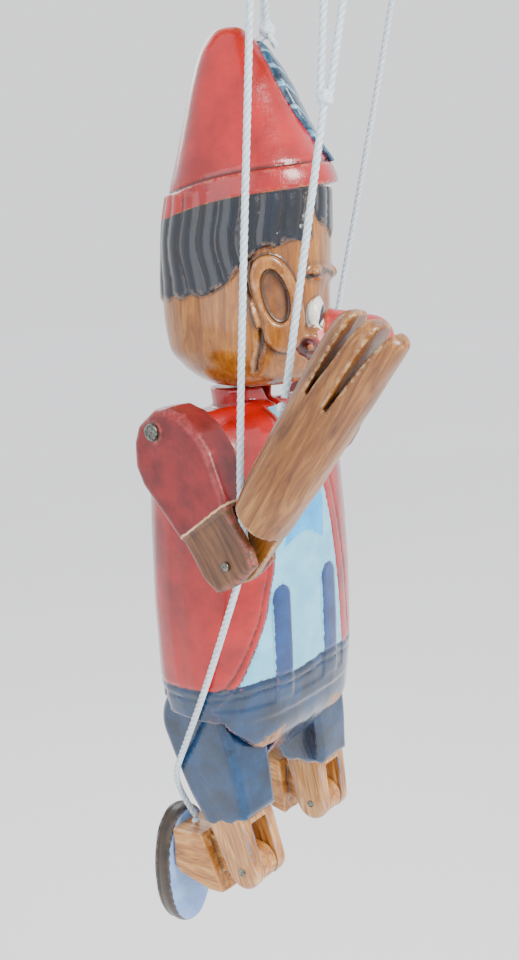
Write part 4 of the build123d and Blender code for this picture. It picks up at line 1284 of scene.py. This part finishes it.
def row(p):
    return tuple(1000 * p[i] + GRIP[i] for i in range(3))


knot_piece("right_hand_knot", row(R_KNOT), 2.15, "torso", [])
knot_piece("left_hand_bar_knot", row((0.04589, 0.00052, -0.0041)), 2.1, "control", [])
knot_piece("right_leg_bar_knot", row((-0.04079, -0.00934, -0.0041)), 2.1, "control", [])
knot_piece("left_leg_bar_knot", row((0.02439, 0.03776, -0.0041)), 2.1, "control", [])

# ---------------------------------------------------------------- nodes shown with their own mesh
mm_wood = cad_mat("bar_wood", [(0.34, srgb(128, 88, 46)), (0.5, srgb(186, 144, 92)), (0.68, srgb(216, 182, 134))], 0.6, stretch=(1.0, 0.12, 1.0), scale=420.0)
mm_steel = cad_mat("wire_steel", [(0.35, srgb(70, 72, 66)), (0.65, srgb(150, 152, 144))], 0.34, metal=1.0, scale=900.0)
for name, node in frame["nodes"].items():
    if node.hide_render:
        continue
    node.data.materials.clear()
    steel_part = any(k in name for k in ("pin", "nail", "rod", "eye")) and name != "neck_pin"
    node.data.materials.append(mm_steel if steel_part else mm_wood)

# ---------------------------------------------------------------- stage
def plane_mesh(name, corners, mat):
    me = bpy.data.meshes.new(name)
    me.from_pydata(corners, [], [(0, 1, 2, 3)])
    ob = bpy.data.objects.new(name, me)
    bpy.context.scene.collection.objects.link(ob)
    ob.data.materials.append(mat)
    return ob


ms = Mat("stage_pale")
gc = ms.n("ShaderNodeTexCoord")
ms.finish(ms.ramp(ms.noise(0.8, 3.0, 0.5, vec=gc.outputs["Object"]), [(0.3, (0.84, 0.84, 0.845, 1)), (0.7, (0.88, 0.88, 0.885, 1))]), 0.85,
          ms.noise(6.0, 3.0, vec=gc.outputs["Object"]), depth=0.0002, spec=0.1)
for nd in ms.m.node_tree.nodes:
    if nd.type == "BSDF_PRINCIPLED":
        nd.inputs["Emission Color"].default_value = (0.97, 0.98, 1.0, 1.0)
        nd.inputs["Emission Strength"].default_value = 0.2
floor = plane_mesh("stage_floor", [(-6, -6, -0.62), (6, -6, -0.62), (6, 6, -0.62), (-6, 6, -0.62)], ms.m)
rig.stage(floor)

world = bpy.data.worlds.new("studio")
bpy.context.scene.world = world
world.use_nodes = True
bg = world.node_tree.nodes["Background"]
bg.inputs[0].default_value = (0.96, 0.97, 1.0, 1)
bg.inputs[1].default_value = 1.35


def area(name, loc, target, size, power, color=(1, 1, 1)):
    li = bpy.data.lights.new(name, "AREA")
    li.shape = "RECTANGLE"
    li.size, li.size_y = size
    li.energy = power
    li.color = color
    ob = bpy.data.objects.new(name, li)
    bpy.context.scene.collection.objects.link(ob)
    ob.location = loc
    ob.rotation_euler = (Vector(target) - Vector(loc)).to_track_quat("-Z", "Y").to_euler()
    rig.stage(ob)
    return ob


mid = (-0.014, 0.024, -0.16)
area("key", (-0.15, -0.75, 0.30), mid, (0.3, 0.45), 11.0, (1.0, 0.98, 0.95))
area("fill", (-0.85, -0.10, 0.05), mid, (0.6, 0.8), 2.2, (0.95, 0.97, 1.0))
area("rim", (0.35, 0.7, 0.35), mid, (0.5, 0.5), 2.5)

# ---------------------------------------------------------------- camera
az, pitch, roll = math.radians(-51.5), math.atan(230.0 / (320.0 / 0.30)), math.radians(3.0)
look = np.array([-math.sin(az), math.cos(az), 0])
right = np.array([math.cos(az), math.sin(az), 0])
pos = -look * 320.0 + right * 3.0 + np.array([0, 0, 124.5])
fwd = look * math.cos(pitch) + np.array([0, 0, -1.0]) * math.sin(pitch)
upv = look * math.sin(pitch) + np.array([0, 0, 1.0]) * math.cos(pitch)
Rv = right * math.cos(roll) - upv * math.sin(roll)
Uv = upv * math.cos(roll) + right * math.sin(roll)
cam = bpy.data.cameras.new("camera")
cam.sensor_fit = "VERTICAL"
cam.sensor_height = 24.0
cam.lens = 24.0 * (320.0 / 0.30) / 960.0
cam.clip_start = 0.01
co = bpy.data.objects.new("camera", cam)
bpy.context.scene.collection.objects.link(co)
M = Matrix.Identity(4)
for i in range(3):
    M[i][0], M[i][1], M[i][2] = Rv[i], Uv[i], -fwd[i]
    M[i][3] = (pos[i] - GRIP[i]) / 1000.0
co.matrix_world = M
bpy.context.scene.camera = co

vis_lo, vis_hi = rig.bounds()
with open("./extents.json", "w") as fh:
    json.dump({"cad": cad_box, "visual": [[float(v) for v in vis_lo], [float(v) for v in vis_hi]]}, fh)
